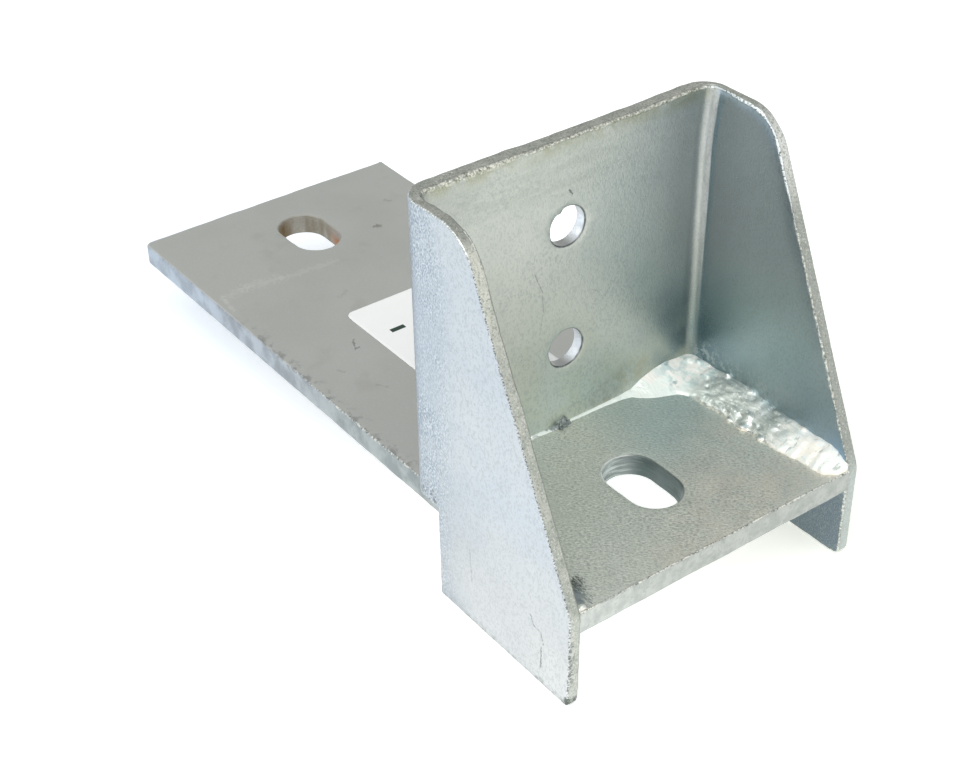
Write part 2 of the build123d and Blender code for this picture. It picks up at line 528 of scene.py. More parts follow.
def saddle_round_out(li, loop):
    cheek = smooth(S1, S2, np.abs(loop[:, 0]))
    return (0.22 if li else 0.24 + 0.2 * cheek) + 0.06 * fbm(flat_pts(loop), 4.0, 53, 2)


cols = []
for lo, hi, step in ((-front_s + 0.6, -S2, 1.2), (-S2, -S1, ARC / 10), (-S1, S1, 1.25), (S1, S2, ARC / 10), (S2, front_s - 0.6, 1.2)):
    k = max(1, int(round((hi - lo) / step)))
    cols += list(lo + (hi - lo) * np.arange(k) / k)
cols.append(front_s - 0.6)
rows = np.arange(LEG_Z + 0.8, WEB_TOP - 0.5, 1.2)
saddle_grid = np.array([(s, z + (0.6 if i % 2 else 0)) for i, s in enumerate(cols) for z in rows])
flat, faces, mk = slab(
    saddle_loops, T, saddle_grid, saddle_round_in, saddle_round_out, saddle_wave, rounds=4, mids=2
)
work = flat.copy()
inner = smooth(1.3, 0.2, flat[:, 2])
roll = 0.26 * (1 - np.clip(mk["d_out"] / 3.6, 0, 1)) ** 2 * (1 + 0.45 * fbm(flat * [1, 1, 0], 7.0, 56, 2))
roll = roll * smooth(6.0, 12.0, flat[:, 1])
dish = 0.1 * (1 - np.clip(mk["d_hole"] / 1.4, 0, 1)) ** 2
swell = 0.04 * fbm(flat * [1, 1, 0], 20.0, 31, 2) * smooth(8.0, 22.0, flat[:, 1])
turn = np.clip((np.abs(flat[:, 0]) - S1) / ARC, 0, 1)
high = smooth(68.0, 81.0, flat[:, 1])
thin = 0.32 * np.sin(math.pi * turn) ** 2
roll = roll + 0.5 * high * smooth(S1, S2, flat[:, 0]) * (1 - np.clip(mk["d_out"] / 6.0, 0, 1)) ** 2
work[:, 2] += inner * (roll + dish + thin) + swell
xyz = saddle_place(work)
xyz[:, 0] += 0.7 * high * inner * smooth(S1 - 5, S1 + 2, flat[:, 0]) * smooth(S2 + 9, S2, flat[:, 0])
zz, aa = flat[:, 1], np.abs(flat[:, 0])
saddle = new_object(
    "folded_saddle",
    xyz,
    [f[::-1] for f in faces],
    {
        "wall": mk["wall"],
        "bore": (mk["hole"] > 0) * np.clip(mk["wall"] * 1.5 - 0.5, 0, 1),
        "bore_rim": mk["rim_lo"] * (mk["hole"] > 0),
        "fold": aa - S1,
        "rim_in": mk["rim_lo"] * (mk["hole"] <= 0),
        "rim_out": mk["rim_hi"] * (mk["hole"] <= 0),
        "inner": smooth(T * 0.8, T * 0.2, flat[:, 2]),
        "edge": np.clip(1 - mk["d_out"] / 6.0, 0, 1),
        "leg_in_shade": smooth(1.0, -2.0, zz) * smooth(1.5, 0.1, flat[:, 2]) * (mk["wall"] < 0.6),
        "web": smooth(S2, S1, aa),
        "right_side": smooth(S1, S2, flat[:, 0]),
        "left_side": smooth(-S1, -S2, flat[:, 0]),
        "back": smooth(S2 + 15.0, S2 + 2.0, aa),
        "bend": np.exp(-(((aa - (S1 + S2) / 2) / 9.0) ** 2)),
    },
)
close_corners(saddle)


# ---------------------------------------------------------------- weld metal
def smax(a, b, k):
    h = np.clip(0.5 + 0.5 * (a - b) / k, 0, 1)
    return b * (1 - h) + a * h + k * h * (1 - h)


def field_points(lo, hi, step):
    n = [int(round((hi[i] - lo[i]) / step)) + 1 for i in range(3)]
    ax = [lo[i] + step * np.arange(n[i]) for i in range(3)]
    g = np.meshgrid(*ax, indexing="ij")
    return np.stack([c.ravel() for c in g], 1), n


def net_mesh(f, lo, step):
    f[0], f[-1], f[:, 0], f[:, -1], f[:, :, 0], f[:, :, -1] = -1, -1, -1, -1, -1, -1
    v, q = surface_nets(f, np.array(lo, float), step)
    # loose crumbs that the field leaves are dropped
    part = np.arange(len(v))
    e = np.concatenate([q[:, [0, 1]], q[:, [1, 2]], q[:, [2, 3]]])
    for _ in range(300):
        before = part.copy()
        m = np.minimum(part[e[:, 0]], part[e[:, 1]])
        np.minimum.at(part, e[:, 0], m)
        np.minimum.at(part, e[:, 1], m)
        part = part[part]
        if (before == part).all():
            break
    roots, counts = np.unique(part, return_counts=True)
    keep = part == roots[counts.argmax()]
    remap = -np.ones(len(v), int)
    remap[keep] = np.arange(keep.sum())
    v, q = v[keep], remap[q[keep[q].all(1)]]
    e = np.concatenate([q[:, [0, 1]], q[:, [1, 2]], q[:, [2, 3]], q[:, [3, 0]]])
    for weight in (0.5, 0.5, -0.2):
        acc, cnt = np.zeros_like(v), np.zeros(len(v))
        np.add.at(acc, e[:, 0], v[e[:, 1]])
        np.add.at(acc, e[:, 1], v[e[:, 0]])
        np.add.at(cnt, e[:, 0], 1)
        np.add.at(cnt, e[:, 1], 1)
        v = v + weight * (acc / cnt[:, None] - v)
    return v, q


# drops of metal along the edges of the bead: distance from the cheek, distance from the web, height, radius
DROPS = [
    (2.3, 2.2, 3.7, 0.9), (1.2, 4.4, 4.0, 0.6), (0.4, 14.2, 4.8, 0.6), (0.4, 22.4, 4.3, 0.7),
    (0.4, 31.4, 3.6, 0.5), (0.4, 40.4, 3.7, 0.6), (8.3, 23.4, 0.2, 0.6), (7.9, 27.8, 0.3, 0.7),
    (7.8, 33.4, 0.2, 0.6), (5.2, 27.0, 2.0, 0.6),
]
PITS = [(6.4, 25.6, 1.5, 0.8), (6.7, 29.4, 1.2, 0.8), (5.9, 31.2, 1.5, 0.7), (3.4, 10.6, 3.0, 0.8), (5.0, 12.4, 2.2, 0.7)]


def bead_field(P, side, seed):
    dx = BAR_HALF - P[:, 0]
    dy = WEB_Y - P[:, 1]
    dz = P[:, 2] - BAR_T
    line = P * [0, 1, 0]
    # legs along the cheek, by distance in front of the web
    at = [0, 10, 18, 26, 30, 34, 39, 42, 46, 50, 52.5, 54.2, 55.0]
    a = np.interp(dy, at, [8.8, 8.6, 8.6, 8.3, 7.8, 7.7, 7.7, 7.1, 6.4, 6.3, 5.4, 3.6, 1.6])
    b = np.interp(dy, at, [3.9, 4.4, 4.9, 4.5, 4.0, 4.3, 3.8, 3.9, 4.1, 3.9, 2.9, 1.4, 0.5])
    wob = fbm(line + [seed, 0, 0], 5.0, seed + 1, 2)
    a = a * (1 + 0.03 * wob + 0.03 * fbm(P, 2.2, seed + 4, 2))
    b = b * (1 + 0.05 * fbm(line + [seed, 9, 0], 4.4, seed + 2, 2) + 0.05 * fbm(P, 2.4, seed + 3, 2))
    if side < 0:
        feather = fbm(P * [0.4, 1.6, 1.0], 1.3, seed + 12, 2)
        feather = feather + 0.6 * fbm(P * [0.4, 1.8, 1.0], 0.7, seed + 13, 1)
        a = a * (1 + smooth(38.0, 44.0, dy) * (0.1 * feather - 0.4))
        b = b * (1 - 0.7 * smooth(36.0, 43.0, dy))
    u, v = np.clip(dx, 0, None) / a, np.clip(dz, 0, None) / b
    f1 = (1 - u**1.3 - v**1.3) * np.minimum(a, b) * 0.72
    # legs along the web, by distance from the cheek
    at2 = [0, 4, 8.5, 12, 16, 19, 21.3]
    a2 = np.interp(dx, at2, [8.8, 9.2, 8.6, 7.3, 5.6, 3.6, 1.0])
    b2 = np.interp(dx, at2, [3.6, 4.1, 4.6, 4.0, 2.7, 1.1, 0.3])
    u, v = np.clip(dy, 0, None) / a2, np.clip(dz, 0, None) / b2
    f2 = (1 - u**0.95 - v**0.95) * np.minimum(a2, b2) * 0.8
    f2 = np.where(dx > 21.3, -1.0, f2)
    f = smax(f1, f2, 1.4)
    rough = smooth(14.5, 9.0, dx) * smooth(1.0, 8.0, dy)
    front = smooth(32.0, 40.0, dy)
    bow = 0.05 * (dx - 4.0) ** 2
    ripple = np.sin((dy * 1.0 + bow + 1.6 * wob) * 2 * math.pi / 3.7)
    crease = np.abs(fbm((P + 0.9 * wob[:, None]) * [1, 0.3, 1], 2.3, seed + 6, 2))
    f = f + rough * (
        front * 0.1 * ripple
        + 0.17 * fbm(P * [1, 0.6, 1], 4.6, seed + 5, 2)
        - 0.08 * (0.16 - np.minimum(crease, 0.16)) / 0.16
        + 0.06 * fbm(P * [1, 0.5, 1], 1.6, seed + 7, 1)
    )
    f = f + (1 - rough) * 0.04 * fbm(P, 3.5, seed + 9, 2)
    for k, (x, y, z, r) in enumerate(DROPS):
        if side < 0:
            y = y * 0.93 + 2.1
            x = x * (0.92 if x > 2 else 1.0)
        d = np.sqrt((dx - x) ** 2 + (0.8 * (dy - y)) ** 2 + (dz - z) ** 2)
        f = np.where(d < 3 * r, smax(f, 0.8 * (r - d), 0.6), f)
    for x, y, z, r in PITS:
        d = np.sqrt((dx - x) ** 2 + (dy - y) ** 2 + (dz - z) ** 2)
        f = f - 0.5 * r * np.exp(-((d / r) ** 2))
    if side < 0:
        # the blob of zinc where the bead meets the front edge
        d = np.sqrt((0.6 * (dx - 1.3)) ** 2 + (dy - 53.9) ** 2 + (dz - 0.1) ** 2)
        f = smax(f, 0.8 * (0.75 + 0.12 * fbm(P, 0.9, seed + 14, 2) - d), 0.3)
    # held to the faces that it is welded to, and short of the front end
    f = np.minimum(f, dx + 0.45)
    f = np.minimum(f, dz + 0.45)
    f = np.minimum(f, dy + 0.45)
    return np.minimum(f, 54.55 - dy)


def make_bead(name, side, seed):
    step = 0.28
    lo, hi = [17.6, -98.6, 4.9], [41.2, -41.9, 13.2]
    P, n = field_points(lo, hi, step)
    v, q = net_mesh(bead_field(P, side, seed).reshape(n), lo, step)
    v[:, 0] = np.clip(v[:, 0], None, 40.45)
    dx, dy = BAR_HALF - v[:, 0], WEB_Y - v[:, 1]
    # painted highlight: the bead is painted pale along the web and at its front end
    flat_part = np.clip(smooth(9.0, 14.0, dx) + smooth(15.0, 5.0, dy), 0, 1)
    front = smooth(33.0, 42.0, dy)
    bright = np.clip(0.12 * (1 - flat_part) * (1 - front) + flat_part + front, 0, 1)
    corner = smooth(15.0, 9.0, dx) * smooth(16.0, 10.0, dy)
    toe = smooth(0.9, 0.3, v[:, 2] - BAR_T) * smooth(9.0, 14.0, dy)
    darkened = np.zeros(len(v))
    if side < 0:
        v = v * [-1, 1, 1]
        q = q[:, ::-1]
        darkened = smooth(36.0, 44.0, dy) * smooth(53.5, 52.9, dy)
        bright = bright * (1 - 0.55 * smooth(52.5, 53.2, dy))
    return new_object(name, v, q, {"bright": bright, "darkened": darkened, "corner": corner, "toe": toe})


bead_right = make_bead("weld_bead_right", 1, 101)
bead_left = make_bead("weld_bead_left", -1, 211)


def tack_field(P):
    dx = np.abs(P[:, 0] + 1.0)
    dy = WEB_Y - P[:, 1]
    dz = P[:, 2] - BAR_T
    r = 1.9 * (1 + 0.15 * fbm(P, 1.2, 61, 2))
    f = r - np.sqrt(dx**2 + np.clip(dy, 0, None) ** 2 * 1.2 + np.clip(dz, 0, None) ** 2 * 1.0)
    f = f + 0.6 * fbm(P, 1.0, 63, 2)
    return np.minimum(np.minimum(f, dy + 0.4), dz + 0.4)


P, n = field_points([-4.6, -46.6, 5.0], [2.6, -42.2, 9.4], 0.16)
v, q = net_mesh(tack_field(P).reshape(n), [-4.6, -46.6, 5.0], 0.16)
tack = new_object("weld_tack_lump", v, q, {"bright": 0.1 + 0 * v[:, 0], "darkened": 0.75 + 0 * v[:, 0]})


def seam_field(P):
    """The thin line of zinc that closes the joint between the web and the bar."""
    x = P[:, 0]
    dy = WEB_Y - P[:, 1]
    dz = P[:, 2] - BAR_T
    clean = smooth(0.0, 3.0, x)
    a = np.interp(x, [-40, -24, -3, 0, 1, 4, 12, 17, 20], [0.8, 0.85, 0.8, 0.6, 0.55, 0.6, 0.85, 1.3, 2.0])
    b = np.interp(x, [-40, -24, -3, 0, 1, 4, 12, 17, 20], [0.45, 0.45, 0.45, 0.45, 0.3, 0.32, 0.42, 0.6, 1.0])
    rag = (1 - clean) * (0.34 * fbm(P, 1.2, 71, 2)) + clean * 0.05 * fbm(P, 3.0, 73, 2)
    f = (1 - np.clip(dy, 0, None) / a - np.clip(dz, 0, None) / b) * np.minimum(a, b) * 0.8 + rag * 0.6
    return np.minimum(np.minimum(f, dy + 0.35), dz + 0.35)


P, n = field_points([-36.0, -46.2, 5.3], [21.5, -42.5, 8.2], 0.22)
v, q = net_mesh(seam_field(P).reshape(n), [-36.0, -46.2, 5.3], 0.22)
seam = new_object(
    "zinc_seam",
    v,
    q,
    {
        "bright": np.clip(smooth(-1.0, 3.0, v[:, 0]) + smooth(-2.5, -4.0, v[:, 0]) * smooth(-0.25, 0.25, fbm(v, 1.3, 75, 2)), 0, 1),
        "darkened": 0.3 * smooth(1.0, -2.0, v[:, 0]) * smooth(-5.0, -3.5, v[:, 0]),
    },
)

# ---------------------------------------------------------------- paper label
LW, LL, LR, LREAR = 31.6, 57.0, 2.5, 29.6
label_outline = resample(
    fillet_poly(
        [(-LW / 2, LREAR - LL), (LW / 2, LREAR - LL), (LW / 2, LREAR), (-LW / 2, LREAR)], [LR] * 4
    ),
    0.8,
)
lg = np.array([(x, y) for y in np.arange(LREAR - LL + 1, LREAR, 1.5) for x in np.arange(-LW / 2 + 1, LW / 2, 1.5)])


def place_label(f):
    out = f.copy()
    d = np.minimum(LW / 2 - np.abs(f[:, 0]), np.minimum(LREAR - f[:, 1], f[:, 1] - (LREAR - LL)))
    corner = np.hypot(LW / 2 - np.abs(f[:, 0]), LREAR - f[:, 1])
    lift = 0.07 * smooth(5.0, 0.0, corner) + 0.02 * fbm(f * [1, 1, 0], 9.0, 81, 2) * smooth(0, 3, d)
    out[:, 2] = BAR_T + 0.035 + f[:, 2] + np.clip(lift, 0, None)
    return out


flat, faces, mk = slab(
    [label_outline],
    0.11,
    lg,
    lambda i, q: np.full(len(q), 0.03),
    lambda i, q: np.full(len(q), 0.03),
    lambda i, q, w: np.zeros(len(q)),
    rounds=1,
    mids=0,
)
paper = new_object("paper_label", place_label(flat), faces, {"wall": mk["wall"]})


# ---------------------------------------------------------------- materials
class Nodes:
    def __init__(self, name):
        self.mat = bpy.data.materials.new(name)
        self.mat.use_nodes = True
        self.t = self.mat.node_tree
        self.t.nodes.clear()
        self.out = self.t.nodes.new("ShaderNodeOutputMaterial")
        self.bsdf = self.t.nodes.new("ShaderNodeBsdfPrincipled")
        self.t.links.new(self.bsdf.outputs[0], self.out.inputs[0])
        self.coord = self.t.nodes.new("ShaderNodeTexCoord").outputs["Object"]
        self.geo = self.t.nodes.new("ShaderNodeNewGeometry")

    def link(self, a, b):
        self.t.links.new(a, b)

    def set(self, sock, v):
        if hasattr(v, "links"):
            self.link(v, sock)
        elif v is not None:
            sock.default_value = v

    def noise(self, scale, detail=3.0, rough=0.5, stretch=None, warp=None, kind="FBM", dist=0.0, base=None):
        """scale is the size of the pattern in mm."""
        v = base or self.coord
        if stretch is not None:
            m = self.t.nodes.new("ShaderNodeMapping")
            m.inputs["Scale"].default_value = stretch
            self.link(v, m.inputs["Vector"])
            v = m.outputs[0]
        if warp is not None:
            a = self.t.nodes.new("ShaderNodeVectorMath")
            a.operation = "ADD"
            self.link(v, a.inputs[0])
            self.link(warp, a.inputs[1])
            v = a.outputs[0]
        n = self.t.nodes.new("ShaderNodeTexNoise")
        n.noise_dimensions = "3D"
        n.noise_type = kind
        n.inputs["Scale"].default_value = 1000.0 / scale
        n.inputs["Detail"].default_value = detail
        n.inputs["Roughness"].default_value = rough
        n.inputs["Distortion"].default_value = dist
        self.link(v, n.inputs["Vector"])
        return n.outputs["Fac"]

    def voronoi(self, scale, feature="F1", rand=1.0, smoothness=None, stretch=None):
        v = self.coord
        if stretch is not None:
            m = self.t.nodes.new("ShaderNodeMapping")
            m.inputs["Scale"].default_value = stretch
            self.link(v, m.inputs["Vector"])
            v = m.outputs[0]
        n = self.t.nodes.new("ShaderNodeTexVoronoi")
        n.feature = feature
        n.inputs["Scale"].default_value = 1000.0 / scale
        n.inputs["Randomness"].default_value = rand
        if smoothness is not None and "Smoothness" in n.inputs:
            n.inputs["Smoothness"].default_value = smoothness
        self.link(v, n.inputs["Vector"])
        return n

    def ramp(self, v, lo, hi, a=0.0, b=1.0, smooth_step=True):
        n = self.t.nodes.new("ShaderNodeMapRange")
        n.interpolation_type = "SMOOTHSTEP" if smooth_step else "LINEAR"
        n.inputs["From Min"].default_value = lo
        n.inputs["From Max"].default_value = hi
        n.inputs["To Min"].default_value = a
        n.inputs["To Max"].default_value = b
        self.set(n.inputs["Value"], v)
        return n.outputs[0]

    def math(self, op, a, b=None, c=None):
        n = self.t.nodes.new("ShaderNodeMath")
        n.operation = op
        self.set(n.inputs[0], a)
        if b is not None:
            self.set(n.inputs[1], b)
        if c is not None:
            self.set(n.inputs[2], c)
        return n.outputs[0]

    def mix(self, f, a, b, blend="MIX"):
        n = self.t.nodes.new("ShaderNodeMix")
        n.data_type = "RGBA"
        n.blend_type = blend
        self.set(n.inputs[0], f)
        self.set(n.inputs[6], a)
        self.set(n.inputs[7], b)
        return n.outputs[2]

    def mixf(self, f, a, b):
        n = self.t.nodes.new("ShaderNodeMix")
        n.data_type = "FLOAT"
        self.set(n.inputs[0], f)
        self.set(n.inputs[2], a)
        self.set(n.inputs[3], b)
        return n.outputs[0]

    def mark(self, u, v, a, b, width, jag, ragged=0.003):
        """A scratch from a to b in mm on two coordinates, as a mask."""
        dx, dy = (b[0] - a[0]) * 0.001, (b[1] - a[1]) * 0.001
        px = self.math("SUBTRACT", u, a[0] * 0.001)
        py = self.math("SUBTRACT", v, a[1] * 0.001)
        t = self.math("ADD", self.math("MULTIPLY", px, dx / (dx * dx + dy * dy)), self.math("MULTIPLY", py, dy / (dx * dx + dy * dy)))
        t = self.math("MINIMUM", self.math("MAXIMUM", t, 0.0), 1.0)
        ex = self.math("SUBTRACT", px, self.math("MULTIPLY", t, dx))
        ey = self.math("SUBTRACT", py, self.math("MULTIPLY", t, dy))
        d = self.math("SQRT", self.math("ADD", self.math("MULTIPLY", ex, ex), self.math("MULTIPLY", ey, ey)))
        d = self.math("ADD", d, self.math("MULTIPLY", self.math("SUBTRACT", jag, 0.5), width * ragged))
        return self.ramp(d, width * 0.001, width * 0.0003)

    def attr(self, name):
        n = self.t.nodes.new("ShaderNodeAttribute")
        n.attribute_name = name
        return n.outputs["Fac"]

    def xyz(self, v=None):
        n = self.t.nodes.new("ShaderNodeSeparateXYZ")
        self.link(v or self.coord, n.inputs[0])
        return n.outputs[0], n.outputs[1], n.outputs[2]

    def xyz_shift(self, d):
        a = self.t.nodes.new("ShaderNodeVectorMath")
        a.operation = "ADD"
        self.link(self.coord, a.inputs[0])
        a.inputs[1].default_value = (d, d, d)
        return a.outputs[0]

    def bump(self, height, dist, strength=1.0, normal=None):
        n = self.t.nodes.new("ShaderNodeBump")
        n.inputs["Distance"].default_value = dist * 0.001
        n.inputs["Strength"].default_value = strength
        self.link(height, n.inputs["Height"])
        if normal is not None:
            self.link(normal, n.inputs["Normal"])
        return n.outputs[0]


def rgb(r, g, b):
    return (r, g, b, 1.0)


def zinc_sheet():
    m = Nodes("zinc_sheet")
    inner, wall, web = m.attr("inner"), m.attr("wall"), m.attr("web")
    right, left, back = m.attr("right_side"), m.attr("left_side"), m.attr("back")
    x, y, z = m.xyz()
    outer = m.math("SUBTRACT", 1.0, inner)
    big = m.noise(30, 3, 0.55)
    mid = m.noise(6.5, 3, 0.6)
    jag = m.noise(0.8, 3, 0.6)
    grain = m.noise(0.55, 2.5, 0.6, stretch=(1.0, 1.0, 0.75))
    dents = m.noise(0.42, 1.5, 0.5, stretch=(1.0, 1.0, 0.7), dist=0.2)
    fine = m.noise(0.32, 2, 0.55)
    fold = m.attr("fold")
    # the coat is coarse round the outside of the bends and behind them
    coarse = m.math("MULTIPLY", m.math("MULTIPLY", back, outer), m.ramp(m.noise(12, 3), 0.36, 0.5, 0.45, 1.0))
    # painted light: the outer faces are tinted bluish for the bluish light that falls on them; the inner faces are
    # greenish, as the passivated zinc is
    outer_c = m.mix(m.ramp(big, 0.35, 0.65), rgb(0.575, 0.63, 0.68), rgb(0.635, 0.675, 0.69))
    outer_c = m.mix(m.ramp(z, -0.012, 0.03), rgb(0.585, 0.61, 0.62), outer_c)
    outer_c = m.mix(m.math("MULTIPLY", m.ramp(y, -0.08, -0.094), m.ramp(z, 0.0, -0.012)), outer_c, rgb(0.64, 0.665, 0.665))
    # painted shade on the outer faces: darker towards the rear of each cheek, and darker still round the outside of
    # each bend
    dimmer = m.ramp(m.math("ADD", fold, m.ramp(big, 0.3, 0.7, -5.0, 5.0)), 30.0, 13.0)
    dimmer = m.math("MULTIPLY", dimmer, m.ramp(z, 0.078, 0.055, 0.35, 1.0))
    outer_c = m.mix(dimmer, m.mix(1.0, outer_c, rgb(0.915, 0.905, 0.9), "MULTIPLY"), m.mix(1.0, outer_c, rgb(0.78, 0.8, 0.83), "MULTIPLY"))
    outer_c = m.mix(m.math("MULTIPLY", m.ramp(fold, 9.0, 4.0), 0.9), outer_c, m.mix(1.0, outer_c, rgb(0.6, 0.64, 0.69), "MULTIPLY"))
    inner_c = m.mix(m.ramp(big, 0.35, 0.65), rgb(0.585, 0.612, 0.57), rgb(0.625, 0.642, 0.60))
    c = m.mix(inner, outer_c, inner_c)
    side = m.ramp(fold, 5.4, 6.6)
    side_in = m.math("MULTIPLY", side, inner)
    # painted shade: the inner faces of the cheeks are a darker blue-grey than the web
    side_c = m.mix(m.ramp(z, 0.026, 0.05), rgb(0.475, 0.575, 0.61), rgb(0.46, 0.52, 0.565))
    c = m.mix(side_in, c, side_c)
    # painted shade in the corners: darker along each bend, and most low down, where it meets the weld
    d = m.math("ADD", m.math("MULTIPLY", fold, 0.12), -0.12)
    d = m.mixf(side, d, m.math("MULTIPLY", m.math("ADD", fold, -7.0), 0.11))
    d2 = m.math("MULTIPLY", d, d)
    along = m.math("POWER", 2.718, m.math("MULTIPLY", d2, -0.6))
    zc = m.math("MULTIPLY", m.math("ADD", z, -0.0125), 82.0)
    low_corner_shade = m.math("MULTIPLY", m.math("ADD", m.math("MULTIPLY", d2, -0.32), m.math("MULTIPLY", m.math("MULTIPLY", zc, zc), -0.5)), 1.0)
    low_corner_shade = m.math("POWER", 2.718, low_corner_shade)
    c = m.mix(m.math("MULTIPLY", inner, m.math("MULTIPLY", along, m.mixf(side, 0.22, 0.28))), c, m.mix(1.0, c, rgb(0.0, 0.04, 0.06), "MULTIPLY"))
    c = m.mix(m.math("MULTIPLY", inner, m.math("MULTIPLY", low_corner_shade, m.mixf(side, 0.64, 0.6))), c, m.mix(1.0, c, rgb(0.0, 0.2, 0.3), "MULTIPLY"))
    # painted highlight: a pale, less metallic stripe inside each bend
    slid = m.math("SUBTRACT", fold, m.math("ADD", m.ramp(z, 0.04, 0.055, 0.0, 0.3), m.ramp(z, 0.066, 0.0815, 0.0, 0.5)))
    bend_highlight = m.math("MULTIPLY", m.ramp(m.math("ADD", slid, m.ramp(z, 0.02, 0.055, -2.2, 0.0)), 1.0, 5.4), m.ramp(slid, 6.7, 5.9))
    bend_highlight = m.math("MULTIPLY", m.math("MULTIPLY", bend_highlight, inner), m.ramp(z, 0.014, 0.055, 0.3, 1.0))
    bend_highlight = m.math("MULTIPLY", bend_highlight, m.ramp(m.noise(1.6, 3, 0.6, stretch=(1.0, 1.0, 0.4)), 0.25, 0.6, 0.7, 1.0))
    # painted shade on the web side of each bend, beneath the painted highlight, darkest low down
    flank_shade = m.math("MULTIPLY", m.math("MULTIPLY", m.ramp(slid, -1.2, 0.4), m.ramp(slid, 4.4, 2.2)), inner)
    c = m.mix(m.math("MULTIPLY", flank_shade, 0.8), c, rgb(0.33, 0.35, 0.34))
    c = m.mix(m.math("MULTIPLY", flank_shade, m.ramp(z, 0.045, 0.022, 0.0, 0.6)), c, rgb(0.17, 0.23, 0.24))
    c = m.mix(m.math("MULTIPLY", bend_highlight, 0.95), c, rgb(0.64, 0.66, 0.645))
    # painted shade: a dark blue band on the cheek side of each inner bend
    crease = m.math("MULTIPLY", m.math("MULTIPLY", m.ramp(m.math("ADD", slid, m.ramp(z, 0.02, 0.05, 0.7, 0.0)), 6.1, 6.8), m.ramp(slid, 8.6, 7.2)), inner)
    crease = m.math("MULTIPLY", crease, m.ramp(z, 0.03, 0.072, 0.45, 0.85))
    c = m.mix(crease, c, rgb(0.25, 0.36, 0.43))
    smear = m.math("MULTIPLY", m.math("MULTIPLY", m.math("MULTIPLY", m.ramp(fold, 4.0, 7.0), inner), right), m.ramp(z, 0.0175, 0.0115))
    smear = m.math("MULTIPLY", smear, m.ramp(y, -0.08, -0.072))
    c = m.mix(m.math("MULTIPLY", smear, m.ramp(m.noise(1.7, 4, 0.7), 0.48, 0.6, 0.0, 0.6)), c, rgb(0.62, 0.71, 0.71))
    c = m.mix(m.math("MULTIPLY", smear, m.ramp(m.noise(1.2, 3, 0.7), 0.44, 0.34, 0.0, 0.6)), c, rgb(0.22, 0.3, 0.31))
    # painted reflection: a bluish glow along the top of the cheeks' inner faces, near the cut edge
    glow = m.math("MULTIPLY", m.math("MULTIPLY", side_in, m.ramp(m.attr("edge"), 0.5, 0.95)), m.ramp(z, 0.071, 0.079))
    c = m.mix(m.math("MULTIPLY", glow, 0.75), c, rgb(0.5, 0.64, 0.78))
    # yellowish stain low down on the web, and a dull band under its top edge
    low = m.math("MULTIPLY", m.ramp(z, 0.036, 0.010), m.math("MULTIPLY", web, inner))
    c = m.mix(m.math("MULTIPLY", low, m.ramp(m.noise(9, 3), 0.4, 0.62, 0.1, 0.6)), c, rgb(0.585, 0.595, 0.48))
    band = m.math("MULTIPLY", m.ramp(z, 0.0775, 0.0812), m.math("MULTIPLY", web, inner))
    c = m.mix(m.math("MULTIPLY", band, m.ramp(m.noise(5, 3, 0.6), 0.38, 0.56, 0.25, 0.9)), c, rgb(0.4, 0.41, 0.31))
    web_in = m.math("MULTIPLY", m.ramp(fold, 2.0, 0.0), inner)
    upper = m.math("MULTIPLY", web_in, m.ramp(z, 0.028, 0.048))
    c = m.mix(upper, c, m.mix(1.0, c, rgb(0.915, 0.915, 0.915), "MULTIPLY"))
    stain = m.mark(x, z, (11.5, 9.0), (22.0, 13.0), 5.0, mid, 0.0012)
    c = m.mix(m.math("MULTIPLY", m.math("MULTIPLY", stain, web_in), m.ramp(m.noise(2.6, 4, 0.65), 0.4, 0.62, 0.1, 0.6)), c, rgb(0.4, 0.37, 0.25))
    brushed = m.math("MULTIPLY", m.ramp(z, 0.0655, 0.072), m.ramp(z, 0.0795, 0.077))
    brushed = m.math("MULTIPLY", m.math("MULTIPLY", brushed, m.math("MULTIPLY", web_in, m.ramp(x, 0.028, 0.01, 0.35, 1.0))), m.ramp(m.noise(4, 4, 0.7, stretch=(0.4, 1.0, 2.4)), 0.4, 0.6, 0.15, 1.0))
    c = m.mix(brushed, c, m.mix(1.0, c, rgb(0.87, 0.88, 0.87), "MULTIPLY"))
    foot = m.math("MULTIPLY", web_in, m.math("MULTIPLY", m.ramp(z, 0.026, 0.012), m.ramp(x, 0.012, -0.004)))
    c = m.mix(foot, c, m.mix(1.0, c, rgb(1.08, 1.14, 1.17), "MULTIPLY"))
    # painted shade: the inner faces of the legs, below the plate, are dark blue
    c = m.mix(m.attr("leg_in_shade"), c, rgb(0.145, 0.195, 0.235))
    # dents, pores and grain of the coat
    c = m.mix(m.math("MULTIPLY", coarse, m.ramp(dents, 0.5, 0.38, 0, 0.9)), c, rgb(0.24, 0.31, 0.39))
    c = m.mix(m.math("MULTIPLY", coarse, m.ramp(dents, 0.55, 0.66, 0, 0.6)), c, rgb(0.8, 0.85, 0.9))
    patches = m.math("MULTIPLY", m.ramp(m.noise(15, 3, 0.6, stretch=(0.6, 1.0, 1.3)), 0.52, 0.62), m.math("MULTIPLY", web, inner))
    amount = m.math("ADD", m.math("MULTIPLY", patches, 0.16), m.mixf(inner, 0.4, 0.3))
    c = m.mix(m.math("MULTIPLY", m.ramp(grain, 0.52, 0.38), amount), c, rgb(0.33, 0.37, 0.37))
    c = m.mix(m.math("MULTIPLY", m.ramp(fine, 0.45, 0.7), 0.2), c, rgb(0.8, 0.82, 0.8))
    pores = m.math("MULTIPLY", m.ramp(m.noise(0.9, 1, 0.5), 0.27, 0.23), m.math("MULTIPLY", outer, left))
    c = m.mix(m.math("MULTIPLY", pores, 0.5), c, rgb(0.3, 0.32, 0.36))
